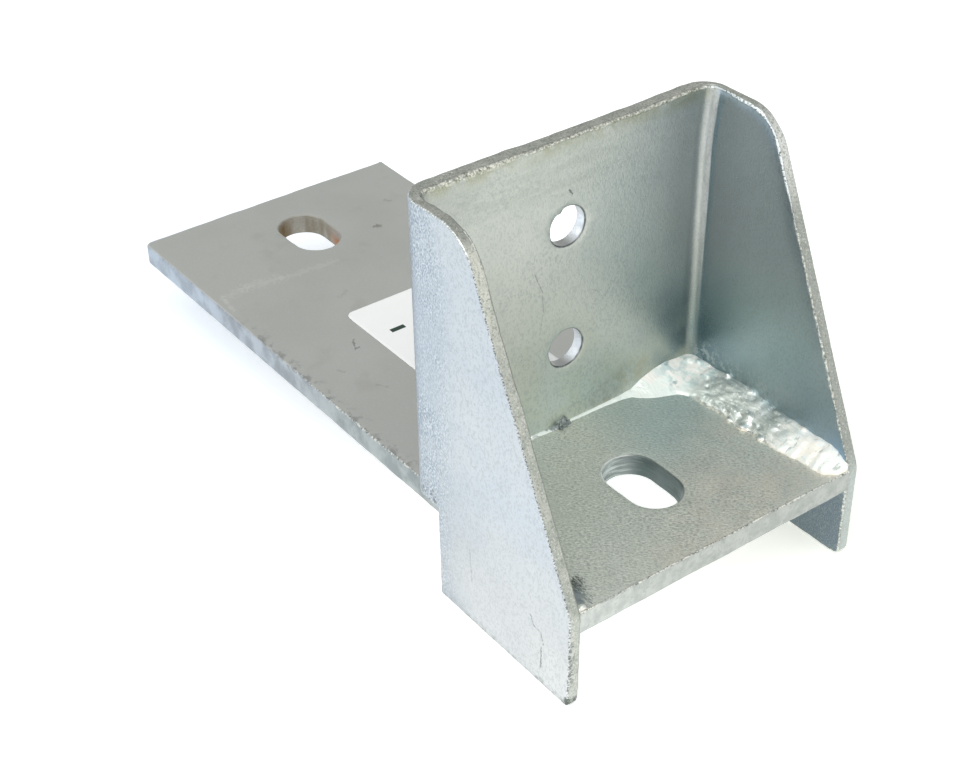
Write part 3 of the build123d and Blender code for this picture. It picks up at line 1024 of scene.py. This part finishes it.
    # dirt along the lower edge of the left leg, and burrs where the leg starts
    lower_edge = m.math("MULTIPLY", m.ramp(m.math("ADD", z, m.ramp(mid, 0.3, 0.7, -0.0008, 0.0008)), -0.0176, -0.0192), m.math("MULTIPLY", left, outer))
    c = m.mix(m.math("MULTIPLY", lower_edge, m.ramp(m.noise(1.5, 3, 0.65), 0.45, 0.6, 0.1, 0.8)), c, rgb(0.22, 0.24, 0.24))
    heel = m.math("MULTIPLY", m.ramp(y, -0.064, -0.055), m.ramp(z, -0.0145, -0.0185))
    c = m.mix(m.math("MULTIPLY", m.math("MULTIPLY", heel, m.math("MULTIPLY", left, outer)), m.ramp(m.noise(3, 3, 0.6), 0.35, 0.6, 0.25, 0.8)), c, rgb(0.34, 0.37, 0.39))
    burr = m.math("MULTIPLY", m.math("MULTIPLY", m.ramp(z, 0.012, 0.0085), m.ramp(z, 0.0045, 0.0065)), m.ramp(y, -0.0535, -0.0495))
    c = m.mix(m.math("MULTIPLY", m.math("MULTIPLY", burr, outer), m.ramp(m.noise(1.1, 3, 0.6), 0.5, 0.42, 0, 0.85)), c, rgb(0.16, 0.18, 0.18))
    # scratches and marks
    for a, b, width, ax, mask in (
        ((0.1, 69.3), (1.0, 68.1), 0.34, "web", 0.85),
        ((-9.4, 51.0), (-7.1, 45.5), 0.2, "web", 0.5),
        ((-7.2, 44.8), (-6.8, 40.2), 0.16, "web", 0.4),
        ((-7.0, 39.5), (-7.8, 34.3), 0.16, "web", 0.35),
        ((7.2, 41.0), (9.6, 39.4), 0.16, "web", 0.3),
        ((-85.4, -1.6), (-86.6, -4.0), 0.26, "left", 0.6),
        ((-86.6, -4.0), (-89.0, -4.3), 0.22, "left", 0.5),
        ((-89.0, -4.3), (-89.9, -7.2), 0.24, "left", 0.6),
        ((-89.2, -8.6), (-89.0, -15.0), 0.3, "left", 0.65),
        ((-63.2, 1.6), (-63.8, -7.4), 0.24, "left", 0.32),
    ):
        if ax == "web":
            k = m.math("MULTIPLY", m.mark(x, z, a, b, width, jag), m.math("MULTIPLY", web, inner))
        else:
            k = m.math("MULTIPLY", m.mark(y, z, a, b, width, jag, 0.005), m.math("MULTIPLY", left, outer))
        c = m.mix(m.math("MULTIPLY", k, mask), c, rgb(0.14, 0.16, 0.16))
    # cut edges
    edge_c = m.mix(m.ramp(m.noise(3.2, 3, 0.6), 0.35, 0.65), rgb(0.43, 0.45, 0.415), rgb(0.54, 0.55, 0.505))
    # painted highlight: cream along the upper part of the left cheek's slanted cut edge
    slant_highlight = m.math("MULTIPLY", left, m.math("MULTIPLY", m.ramp(z, 0.0805, 0.0785), m.ramp(z, 0.05, 0.073)))
    edge_c = m.mix(m.math("MULTIPLY", slant_highlight, 0.38), edge_c, rgb(0.8, 0.79, 0.71))
    worn = m.math("MULTIPLY", m.math("MULTIPLY", left, m.math("SUBTRACT", 1.0, inner)), m.math("MULTIPLY", m.ramp(z, 0.002, -0.002), m.ramp(z, -0.017, -0.010)))
    edge_c = m.mix(m.math("MULTIPLY", worn, m.ramp(m.noise(1.0, 3, 0.6), 0.52, 0.44, 0, 0.8)), edge_c, rgb(0.15, 0.16, 0.15))
    edge_c = m.mix(m.math("MULTIPLY", right, m.ramp(z, 0.078, 0.06, 0.0, 0.75)), edge_c, rgb(0.37, 0.39, 0.37))
    edge_c = m.mix(m.math("MULTIPLY", m.math("MULTIPLY", right, m.ramp(z, 0.06, 0.074)), m.ramp(y, -0.054, -0.061)), edge_c, rgb(0.7, 0.71, 0.69))
    edge_c = m.mix(m.ramp(m.noise(0.5, 3, 0.65), 0.52, 0.36, 0.0, 0.7), edge_c, rgb(0.26, 0.28, 0.25))
    edge_c = m.mix(m.ramp(m.noise(0.42, 2, 0.6), 0.56, 0.68, 0.0, 0.5), edge_c, rgb(0.85, 0.85, 0.8))
    edge_c = m.mix(m.math("MULTIPLY", right, m.ramp(z, 0.012, 0.003, 0.0, 0.4)), edge_c, rgb(0.6, 0.67, 0.68))
    # painted shade: the right cheek's inner face darkens and turns bluish towards its front end, deep blue at the very
    # front, low down
    near_end_shade = m.math("MULTIPLY", m.ramp(y, -0.066, -0.086), m.ramp(z, 0.034, 0.016))
    near_end_shade = m.math("MULTIPLY", m.math("MULTIPLY", near_end_shade, right), side_in)
    near_end_shade = m.math("MULTIPLY", near_end_shade, m.ramp(z, 0.002, 0.005))
    c = m.mix(near_end_shade, c, m.mix(1.0, c, rgb(0.64, 0.7, 0.76), "MULTIPLY"))
    blue = m.math("MULTIPLY", near_end_shade, m.ramp(y, -0.0885, -0.093))
    c = m.mix(m.math("MULTIPLY", blue, m.ramp(z, 0.0165, 0.0115, 0.0, 0.4)), c, rgb(0.24, 0.38, 0.56))
    c = m.mix(m.ramp(wall, 0.3, 0.9), c, edge_c)
    # painted reflection: the walls of the holes are near white on the right, grey on the left
    bore_c = m.mix(m.ramp(x, 0.0, 0.0035), rgb(0.46, 0.47, 0.46), rgb(0.9, 0.94, 0.98))
    c = m.mix(m.attr("bore"), c, bore_c)
    c = m.mix(m.math("MULTIPLY", m.attr("bore_rim"), m.ramp(m.noise(1.2, 2), 0.3, 0.6, 0.7, 1.0)), c, rgb(0.1, 0.11, 0.11))
    # painted highlights: pale specks along the rounded inner rims, and bright white ones at the top of the right cheek;
    # the left cheek's inner rim is darker
    rim_in = m.attr("rim_in")
    speck = m.noise(0.62, 2.5, 0.6)
    shown = m.math("SUBTRACT", 1.0, left)
    c = m.mix(m.math("MULTIPLY", m.math("MULTIPLY", rim_in, shown), m.ramp(speck, 0.48, 0.6, 0.0, 0.85)), c, rgb(0.92, 0.9, 0.8))
    c = m.mix(m.math("MULTIPLY", rim_in, m.ramp(speck, 0.45, 0.33)), c, rgb(0.2, 0.2, 0.15))
    c = m.mix(m.math("MULTIPLY", m.math("MULTIPLY", rim_in, left), 0.7), c, rgb(0.22, 0.23, 0.2))
    c = m.mix(m.math("MULTIPLY", m.math("MULTIPLY", m.ramp(rim_in, 0.35, 0.8), right), m.math("MULTIPLY", m.ramp(speck, 0.38, 0.48), m.ramp(z, 0.06, 0.068))), c, rgb(0.93, 0.98, 1.0))
    # dark teeth along the rounded outer rims below the top; the pale specks along them are a painted highlight,
    # strongest at the top
    rim_out = m.attr("rim_out")
    tooth = m.noise(0.5, 2, 0.5, stretch=(1.0, 1.3, 1.3))
    lower = m.ramp(z, 0.08, 0.076)
    c = m.mix(m.math("MULTIPLY", m.math("MULTIPLY", rim_out, lower), m.ramp(tooth, 0.52, 0.42, 0, 0.9)), c, rgb(0.12, 0.13, 0.15))
    c = m.mix(m.math("MULTIPLY", m.math("MULTIPLY", rim_out, m.ramp(lower, 0.0, 1.0, 1.0, 0.45)), m.ramp(tooth, 0.46, 0.58)), c, rgb(0.96, 0.98, 1.0))
    drip = m.math("MULTIPLY", m.mark(y, z, (-98.1, -19.6), (-97.9, -17.6), 0.8, jag), left)
    c = m.mix(m.math("MULTIPLY", drip, 0.9), c, rgb(0.08, 0.1, 0.08))
    m.set(m.bsdf.inputs["Base Color"], c)
    # the painted highlight in the bends is less metallic
    m.set(m.bsdf.inputs["Metallic"], m.mixf(bend_highlight, 1.0, 0.2))
    r = m.ramp(mid, 0.3, 0.7, 0.30, 0.38)
    r = m.math("ADD", r, m.ramp(fine, 0.3, 0.7, -0.03, 0.04))
    r = m.math("ADD", r, m.math("MULTIPLY", m.ramp(wall, 0.3, 0.9), 0.08))
    m.set(m.bsdf.inputs["Roughness"], r)
    n = m.bump(m.noise(9, 2, 0.5), 0.14, 0.5)
    n = m.bump(m.math("MULTIPLY", dents, coarse), 0.22, 1.0, n)
    n = m.bump(grain, 0.065, 1.0, n)
    n = m.bump(fine, 0.03, 1.0, n)
    n = m.bump(m.math("MULTIPLY", rim_in, speck), 0.35, 1.0, n)
    m.set(m.bsdf.inputs["Normal"], n)
    return m


def zinc_bar():
    m = Nodes("zinc_bar")
    wall, plate = m.attr("wall"), m.attr("plate_zone")
    tongue = m.math("SUBTRACT", 1.0, plate)
    x, y, z = m.xyz()
    big = m.noise(26, 3, 0.55)
    mid = m.noise(6, 3, 0.6)
    jag = m.noise(0.9, 3, 0.6)
    # the coat on the plate is wrinkled, with the wrinkles running across
    turn = m.t.nodes.new("ShaderNodeMapping")
    turn.inputs["Rotation"].default_value = (0.0, 0.0, 0.63)
    m.link(m.coord, turn.inputs["Vector"])
    pebble = m.noise(0.55, 2.5, 0.55, stretch=(0.75, 1.2, 1.0), dist=0.35, base=turn.outputs[0])
    fine = m.noise(0.36, 2, 0.55)
    tongue_c = m.mix(m.ramp(big, 0.35, 0.65), rgb(0.585, 0.59, 0.57), rgb(0.615, 0.62, 0.60))
    tongue_c = m.mix(m.ramp(m.noise(11, 3, 0.6), 0.56, 0.72, 0, 0.3), tongue_c, rgb(0.5, 0.49, 0.455))
    plate_c = m.mix(m.ramp(big, 0.35, 0.65), rgb(0.7, 0.73, 0.67), rgb(0.74, 0.765, 0.7))
    # bluish by the weld, warmer towards the front right
    near_weld = m.math("MULTIPLY", m.ramp(y, -0.08, -0.062), m.ramp(x, -0.002, 0.014))
    plate_c = m.mix(m.math("MULTIPLY", near_weld, 0.8), plate_c, rgb(0.615, 0.725, 0.7))
    warm = m.ramp(m.math("SUBTRACT", x, m.math("MULTIPLY", y, 1.3)), 0.092, 0.13)
    warm = m.math("MULTIPLY", warm, m.ramp(m.noise(11, 3, 0.6), 0.35, 0.6, 0.4, 1.0))
    plate_c = m.mix(warm, plate_c, rgb(0.84, 0.78, 0.68))
    c = m.mix(plate, tongue_c, plate_c)
    # light and dark flecks on the plate's wrinkles: painted highlights and painted shade, weaker near the weld
    shown = m.mixf(plate, 0.07, m.ramp(m.noise(13, 3, 0.6), 0.35, 0.62, 0.5, 1.0))
    shown = m.math("MULTIPLY", shown, m.mixf(near_weld, 1.0, 0.6))
    c = m.mix(m.math("MULTIPLY", m.ramp(pebble, 0.48, 0.38, 0, 0.6), shown), c, rgb(0.42, 0.44, 0.4))
    c = m.mix(m.math("MULTIPLY", m.ramp(pebble, 0.54, 0.63, 0, 0.85), shown), c, rgb(0.92, 0.92, 0.85))
    c = m.mix(m.math("MULTIPLY", m.ramp(fine, 0.54, 0.66), m.math("MULTIPLY", m.mixf(plate, 0.05, 0.5), m.mixf(near_weld, 1.0, 0.5))), c, rgb(0.95, 0.95, 0.88))
    # the dark feathered patch at the front left corner
    feather = m.noise(0.62, 3, 0.7, stretch=(1.7, 0.55, 1.0))
    front_patch = m.mark(x, y, (-35.4, -90.0), (-38.0, -95.2), 3.2, feather, 0.0032)
    front_patch_c = m.mix(m.ramp(y, -0.0885, -0.0955), rgb(0.1, 0.115, 0.105), rgb(0.3, 0.34, 0.36))
    front_patch_c = m.mix(m.ramp(m.noise(0.5, 2, 0.6, stretch=(1.8, 0.5, 1.0)), 0.5, 0.62, 0, 0.7), front_patch_c, rgb(0.5, 0.54, 0.52))
    c = m.mix(m.math("MULTIPLY", m.math("MULTIPLY", front_patch, plate), 0.92), c, front_patch_c)
    # scuffs on the tongue
    for a, b, width, tone, k in (
        ((-37.0, 57.5), (-38.0, 49.5), 0.7, (0.78, 0.78, 0.75), 0.42),
        ((-36.5, 56.0), (-30.0, 57.5), 1.8, (0.78, 0.78, 0.75), 0.3),
        ((-29.5, 57.6), (-20.0, 56.2), 2.2, (0.78, 0.78, 0.75), 0.3),
        ((-19.0, 55.0), (-3.0, 54.5), 1.3, (0.78, 0.78, 0.75), 0.24),
        ((-20.6, 18.4), (-22.4, 14.4), 0.35, (0.16, 0.17, 0.16), 0.55),
        ((-22.6, 14.2), (-21.2, 14.6), 0.35, (0.16, 0.17, 0.16), 0.5),
        ((27.2, 74.2), (28.2, 73.4), 0.8, (0.3, 0.3, 0.27), 0.3),
        ((16.4, 63.4), (17.8, 63.0), 1.0, (0.22, 0.2, 0.16), 0.55),
        ((-31.5, 9.4), (-30.2, 7.4), 0.4, (0.3, 0.3, 0.29), 0.25),
        ((-12.0, 38.0), (-9.0, 39.5), 0.9, (0.4, 0.38, 0.34), 0.2),
        ((-27.0, -2.0), (-25.4, -4.5), 0.4, (0.3, 0.3, 0.29), 0.25),
    ):
        c = m.mix(m.math("MULTIPLY", m.math("MULTIPLY", m.mark(x, y, a, b, width, jag, 0.005), tongue), k), c, rgb(*tone))
    smudge = m.math("MULTIPLY", m.math("MULTIPLY", m.attr("edge"), tongue), m.math("MULTIPLY", m.ramp(x, 0.0, -0.03), m.ramp(y, 0.052, 0.03)))
    c = m.mix(m.math("MULTIPLY", smudge, m.ramp(m.noise(3.2, 4, 0.7), 0.48, 0.62, 0.0, 0.75)), c, rgb(0.27, 0.28, 0.28))
    # sides: smooth and bluish on the long edges, paler at the sheared front end
    long_edge = m.math("MULTIPLY", m.ramp(m.math("ABSOLUTE", x), 0.0392, 0.0398), m.ramp(y, -0.0965, -0.0955))
    edge_c = m.mix(m.ramp(m.noise(3.0, 3, 0.6), 0.35, 0.65), rgb(0.42, 0.44, 0.425), rgb(0.535, 0.555, 0.535))
    edge_c = m.mix(m.ramp(x, -0.01, -0.032), edge_c, m.mix(1.0, edge_c, rgb(1.17, 1.17, 1.17), "MULTIPLY"))
    edge_c = m.mix(m.ramp(m.noise(1.1, 3, 0.6), 0.46, 0.32, 0.0, 0.35), edge_c, rgb(0.3, 0.32, 0.31))
    patch = m.ramp(m.noise(5.5, 3, 0.6), 0.36, 0.62)
    side_c = m.mix(patch, rgb(0.34, 0.365, 0.39), rgb(0.5, 0.54, 0.58))
    side_c = m.mix(m.math("MULTIPLY", m.ramp(y, 0.045, 0.068), m.ramp(y, 0.0945, 0.0925)), side_c, m.mix(patch, rgb(0.37, 0.41, 0.45), rgb(0.51, 0.56, 0.615)))
    side_c = m.mix(m.ramp(y, 0.05, -0.02), side_c, m.mix(patch, rgb(0.31, 0.34, 0.34), rgb(0.44, 0.47, 0.46)))
    edge_c = m.mix(long_edge, edge_c, side_c)
    c = m.mix(m.ramp(wall, 0.3, 0.9), c, edge_c)
    # painted highlight: pale specks along the rounded top rim, solid along the left end of the plate
    teeth = m.math("MULTIPLY", m.ramp(y, 0.03, 0.0, 0.1, 0.8), m.ramp(x, 0.0, -0.03, 0.2, 1.0))
    rim = m.math("MULTIPLY", m.attr("rim"), m.mixf(tongue, 1.0, teeth))
    speck = m.noise(0.6, 2.5, 0.6)
    lit = m.math("MULTIPLY", m.ramp(x, -0.034, -0.0375), plate)
    c = m.mix(m.math("MULTIPLY", rim, m.math("MAXIMUM", m.ramp(speck, 0.5, 0.6, 0, 0.9), lit)), c, rgb(0.95, 0.94, 0.86))
    c = m.mix(m.math("MULTIPLY", rim, m.ramp(speck, 0.47, 0.37, 0, 0.9)), c, rgb(0.1, 0.1, 0.09))
    # painted highlight and painted shade on the front slot's top rim: white on one side of a slanting line, dark on the
    # other, and less metallic where white
    ring = m.attr("slot_rim")
    ring_c = m.mix(m.ramp(m.math("ADD", x, m.math("MULTIPLY", m.math("ADD", y, 0.072), -0.4)), -0.001, 0.0022), rgb(1.0, 1.0, 0.97), rgb(0.2, 0.22, 0.2))
    c = m.mix(m.math("MULTIPLY", ring, m.ramp(speck, 0.3, 0.5, 0.55, 1.0)), c, ring_c)
    lit_ring = m.math("MULTIPLY", ring, m.ramp(m.math("ADD", x, m.math("MULTIPLY", m.math("ADD", y, 0.072), -0.4)), 0.002, -0.001))
    # the front slot's walls: punching striations, in painted shade that is darkest at the right end
    front = m.attr("front_slot")
    lines = m.noise(0.9, 2, 0.5, stretch=(0.12, 0.12, 1.0))
    slot_c = m.mix(m.ramp(lines, 0.38, 0.62), rgb(0.28, 0.32, 0.315), rgb(0.66, 0.72, 0.71))
    slot_c = m.mix(m.ramp(x, 0.003, 0.0066, 0.0, 0.9), slot_c, rgb(0.11, 0.15, 0.145))
    c = m.mix(front, c, slot_c)
    rear = m.attr("rear_slot")
    rust_c = m.mix(m.ramp(m.noise(3.5, 3, 0.6), 0.38, 0.62), rgb(0.17, 0.115, 0.05), rgb(0.25, 0.19, 0.11))
    bands = m.noise(3.6, 2, 0.5, stretch=(1.0, 1.0, 0.25))
    rust_c = m.mix(m.ramp(x, -0.003, 0.002), rust_c, m.mix(m.ramp(bands, 0.38, 0.62), rgb(0.28, 0.25, 0.19), rgb(0.4, 0.385, 0.335)))
    rust_c = m.mix(m.ramp(y, 0.075, 0.068, 0.0, 0.7), rust_c, rgb(0.42, 0.41, 0.4))
    orange = m.math("MULTIPLY", m.ramp(y, 0.074, 0.067), m.ramp(m.math("ADD", z, m.ramp(mid, 0.3, 0.7, -0.0006, 0.0006)), 0.0046, 0.0026, 0.15, 0.95))
    rust_c = m.mix(orange, rust_c, rgb(0.44, 0.19, 0.075))
    rust_c = m.mix(m.ramp(z, 0.0035, 0.0055, 0.0, 0.55), rust_c, rgb(0.36, 0.34, 0.3))
    rust_c = m.mix(m.ramp(m.noise(0.5, 3, 0.6), 0.5, 0.36, 0.0, 0.15), rust_c, rgb(0.13, 0.08, 0.04))
    c = m.mix(rear, c, rust_c)
    m.set(m.bsdf.inputs["Base Color"], c)
    m.set(m.bsdf.inputs["Metallic"], m.math("MULTIPLY", m.ramp(rear, 0.2, 0.9, 1.0, 0.25), m.ramp(lit_ring, 0.2, 0.8, 1.0, 0.15)))
    r = m.mixf(plate, 0.5, m.ramp(mid, 0.3, 0.7, 0.46, 0.56))
    r = m.math("ADD", r, m.ramp(fine, 0.3, 0.7, -0.03, 0.04))
    r = m.math("ADD", r, m.math("MULTIPLY", rear, 0.25))
    m.set(m.bsdf.inputs["Roughness"], r)
    n = m.bump(m.noise(8, 2, 0.5), 0.12, 0.4)
    n = m.bump(m.math("MULTIPLY", pebble, m.mixf(plate, 0.12, 1.0)), 0.16, 1.0, n)
    n = m.bump(m.math("MULTIPLY", rim, speck), 0.3, 1.0, n)
    n = m.bump(m.math("MULTIPLY", front, lines), 0.12, 1.0, n)
    n = m.bump(m.math("MULTIPLY", rear, m.noise(0.8, 3, 0.6)), 0.25, 1.0, n)
    m.set(m.bsdf.inputs["Normal"], n)
    return m


def assign(ob, *mats):
    ob.data.materials.clear()
    for k in mats:
        ob.data.materials.append(k.mat)


sheet_mat = zinc_sheet()
bar_mat = zinc_bar()


def weld_material():
    m = Nodes("zinc_weld")
    bright, darkened = m.attr("bright"), m.attr("darkened")
    x, y, z = m.xyz()
    streak = m.noise(1.3, 3, 0.6, stretch=(1.0, 0.22, 1.0))
    c = m.mix(m.ramp(streak, 0.38, 0.62), rgb(0.4, 0.45, 0.43), rgb(0.6, 0.64, 0.6))
    c = m.mix(m.ramp(m.noise(4.0, 3, 0.6), 0.52, 0.66, 0, 0.7), c, rgb(0.8, 0.82, 0.78))
    # painted highlight: where bright, the weld metal is painted near white and made less metallic
    c = m.mix(bright, c, m.mix(m.ramp(m.noise(5.0, 2, 0.5), 0.4, 0.62), rgb(0.88, 0.92, 0.88), rgb(0.98, 0.97, 0.91)))
    dimmer = m.math("SUBTRACT", 1.0, m.math("MULTIPLY", bright, 0.85))
    c = m.mix(m.math("MULTIPLY", m.ramp(m.noise(0.9, 3, 0.6), 0.44, 0.32, 0.0, 0.4), dimmer), c, rgb(0.22, 0.25, 0.24))
    # on the bead along the web: cream above, greenish white below, with teal patches in the corner
    web_run = m.math("MULTIPLY", bright, m.ramp(y, -0.06, -0.055))
    c = m.mix(web_run, c, m.mix(m.ramp(m.math("ADD", z, m.ramp(m.noise(3, 3, 0.6), 0.3, 0.7, -0.0012, 0.0012)), 0.0072, 0.0088), rgb(0.93, 0.98, 0.92), rgb(1.0, 0.97, 0.9)))
    fresh = m.noise(2.2, 4, 0.65, stretch=(0.6, 0.6, 1.0))
    c = m.mix(m.math("MULTIPLY", web_run, m.ramp(fresh, 0.44, 0.34, 0.0, 0.4)), c, rgb(0.74, 0.8, 0.74))
    corner = m.attr("corner")
    c = m.mix(m.math("MULTIPLY", corner, m.ramp(m.noise(2.8, 2, 0.55), 0.58, 0.4, 0.0, 0.75)), c, rgb(0.56, 0.69, 0.67))
    c = m.mix(m.math("MULTIPLY", corner, m.ramp(m.noise(2.4, 2, 0.55, base=m.xyz_shift(0.03)), 0.4, 0.28, 0.0, 0.8)), c, rgb(0.3, 0.4, 0.4))
    run = m.math("MULTIPLY", bright, m.ramp(y, -0.072, -0.077))
    c = m.mix(m.math("MULTIPLY", run, m.ramp(m.noise(1.5, 4, 0.7, stretch=(0.35, 1.3, 1.0)), 0.45, 0.36, 0.0, 0.8)), c, rgb(0.42, 0.46, 0.43))
    c = m.mix(m.math("MULTIPLY", run, m.ramp(m.noise(3.0, 3, 0.6), 0.5, 0.64, 0.0, 0.7)), c, rgb(1.0, 0.94, 0.82))
    sparks = m.math("MULTIPLY", dimmer, m.ramp(m.noise(0.9, 2, 0.5, base=m.xyz_shift(0.05)), 0.6, 0.68, 0.0, 0.9))
    c = m.mix(sparks, c, rgb(1.0, 1.0, 0.97))
    toe = m.attr("toe")
    c = m.mix(m.math("MULTIPLY", toe, m.ramp(m.noise(1.1, 3, 0.65), 0.42, 0.54, 0.0, 0.85)), c, rgb(1.0, 0.95, 0.86))
    dark = m.mix(m.ramp(y, -0.0875, -0.0955), rgb(0.17, 0.19, 0.19), rgb(0.33, 0.37, 0.39))
    dark = m.mix(m.ramp(m.noise(0.8, 3, 0.6, stretch=(1.4, 0.5, 1.0)), 0.42, 0.62, 0, 0.6), dark, rgb(0.4, 0.44, 0.45))
    c = m.mix(darkened, c, dark)
    m.set(m.bsdf.inputs["Base Color"], c)
    m.set(m.bsdf.inputs["Metallic"], m.mixf(m.math("MULTIPLY", bright, m.ramp(darkened, 0.3, 0.0)), 0.85, 0.15))
    m.set(m.bsdf.inputs["Roughness"], m.math("ADD", m.ramp(m.noise(2.0, 3), 0.3, 0.7, 0.28, 0.4), m.math("MULTIPLY", darkened, 0.3)))
    n = m.bump(m.noise(1.5, 3, 0.6, stretch=(1.0, 0.5, 1.0)), 0.2, 1.0)
    n = m.bump(m.noise(0.6, 2, 0.5, stretch=(1.0, 0.5, 1.0)), 0.07, 1.0, n)
    m.set(m.bsdf.inputs["Normal"], n)
    return m


weld_mat = weld_material()


def label_material():
    m = Nodes("label_paper")
    x, y, z = m.xyz()
    c = m.mix(m.noise(0.6, 3), rgb(0.86, 0.86, 0.85), rgb(0.89, 0.89, 0.88))
    c = m.mix(m.ramp(m.noise(14, 3), 0.4, 0.7, 0, 0.3), c, rgb(0.84, 0.84, 0.83))
    # a plain printed bar, no mark
    bar_x = m.math("MULTIPLY", m.ramp(x, -0.01075, -0.01055), m.ramp(x, -0.00625, -0.00645))
    bar_y = m.math("MULTIPLY", m.ramp(y, 0.0146, 0.0148), m.ramp(y, 0.0164, 0.0162))
    c = m.mix(m.math("MULTIPLY", bar_x, bar_y), c, rgb(0.012, 0.04, 0.028))
    m.set(m.bsdf.inputs["Base Color"], c)
    m.set(m.bsdf.inputs["Roughness"], m.ramp(m.noise(3, 2), 0.3, 0.7, 0.5, 0.6))
    m.set(m.bsdf.inputs["Normal"], m.bump(m.noise(0.4, 2), 0.02, 0.4))
    return m


label_mat = label_material()

for ob, mat, node, sl in (
    (bar, bar_mat, "base_plate", "galvanised_bar"),
    (saddle, sheet_mat, "cheek_channel", "galvanised_sheet"),
    (bead_right, weld_mat, "weld_right", "weld_bead"),
    (bead_left, weld_mat, "weld_left", "weld_bead"),
    (tack, weld_mat, "weld_tack", "weld_bead"),
    (seam, weld_mat, None, "weld_bead"),
    (paper, label_mat, "label", "label_paper"),
):
    assign(ob, mat)
    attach(ob, "root")
    if node:
        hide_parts(node)

# ---------------------------------------------------------------- stage
def floor_material():
    m = Nodes("stage_floor")
    x, y, z = m.xyz()
    m.set(m.bsdf.inputs["Base Color"], m.mix(m.noise(60, 2), rgb(0.84, 0.84, 0.84), rgb(0.86, 0.86, 0.86)))
    m.bsdf.inputs["Roughness"].default_value = 0.9
    m.bsdf.inputs["Specular IOR Level"].default_value = 0.2
    # painted light: the floor glows, greenish to the front right, bluish to the back left, and stronger round the
    # bracket so that its shadow fades
    across = m.math("SUBTRACT", y, x)
    tint = m.mix(m.ramp(across, -0.16, -0.05), rgb(0.56, 0.58, 0.52), rgb(0.8, 0.81, 0.82))
    tint = m.mix(m.ramp(across, -0.03, 0.17), tint, rgb(0.38, 0.47, 0.6))
    m.set(m.bsdf.inputs["Emission Color"], tint)
    fx, fy = m.math("ADD", x, -0.01), m.math("ADD", y, 0.06)
    away = m.math("SQRT", m.math("ADD", m.math("MULTIPLY", fx, fx), m.math("MULTIPLY", fy, fy)))
    m.set(m.bsdf.inputs["Emission Strength"], m.ramp(away, 0.085, 0.03, 0.55, 0.74))
    return m


floor = new_object(
    "floor",
    [(-3000, -3000, LEG_Z - 0.3), (3000, -3000, LEG_Z - 0.3), (3000, 3000, LEG_Z - 0.3), (-3000, 3000, LEG_Z - 0.3)],
    [(0, 1, 2, 3)],
)
assign(floor, floor_material())

world = bpy.data.worlds.new("studio")
bpy.context.scene.world = world
world.use_nodes = True
bg = world.node_tree.nodes["Background"]
bg.inputs[0].default_value = (0.98, 1.0, 0.98, 1.0)
bg.inputs[1].default_value = 0.61


def area(name, direction, dist, size, radiance, colour=(1, 1, 1)):
    d = bpy.data.lights.new(name, "AREA")
    d.shape = "RECTANGLE"
    d.size, d.size_y = size
    d.energy = radiance * math.pi * size[0] * size[1]
    d.color = colour
    o = bpy.data.objects.new(name, d)
    o.location = Vector(direction).normalized() * dist + Vector((0, -0.04, 0.02))
    o.rotation_euler = (-Vector(direction)).to_track_quat("-Z", "Y").to_euler()
    bpy.context.scene.collection.objects.link(o)
    return o


area("front_box", (0.35, -0.75, 0.52), 1.5, (2.4, 1.5), 0.5, (1.0, 1.0, 0.98))
area("top_box", (-0.5, -0.25, 0.83), 1.0, (0.7, 0.7), 3.6, (0.97, 0.98, 1.0))
area("back_box", (-0.62, 0.62, 0.48), 1.1, (0.6, 0.5), 1.2, (0.95, 0.98, 1.0))

# ---------------------------------------------------------------- camera
W, H = 956, 768
F_PX, CX, CY = 1762.584, 478.0, 441.4
R = Matrix(
    (
        (0.8037159056, -0.5948382848, -0.0144276832),
        (-0.3661592667, -0.4753325574, -0.7999914695),
        (0.4690076060, 0.6482486983, -0.5998378870),
    )
)
C = Vector((-217.67344843, -265.09309662 + WEB_Y, 251.48179485 + BAR_T)) * 0.001
cam_data = bpy.data.cameras.new("camera")
cam = bpy.data.objects.new("camera", cam_data)
bpy.context.scene.collection.objects.link(cam)
right_v, down_v, fwd_v = R[0], R[1], R[2]
m3 = Matrix((right_v, -down_v, -fwd_v)).transposed()
cam.matrix_world = Matrix.Translation(C) @ m3.to_4x4()
cam_data.sensor_width = 36.0
cam_data.lens = F_PX / W * 36.0
cam_data.shift_x = (W / 2 - CX) / W
cam_data.shift_y = (CY - H / 2) / W
cam_data.clip_start, cam_data.clip_end = 0.01, 20.0
bpy.context.scene.camera = cam

bpy.context.scene.view_settings.view_transform = "Standard"

bpy.context.view_layer.update()
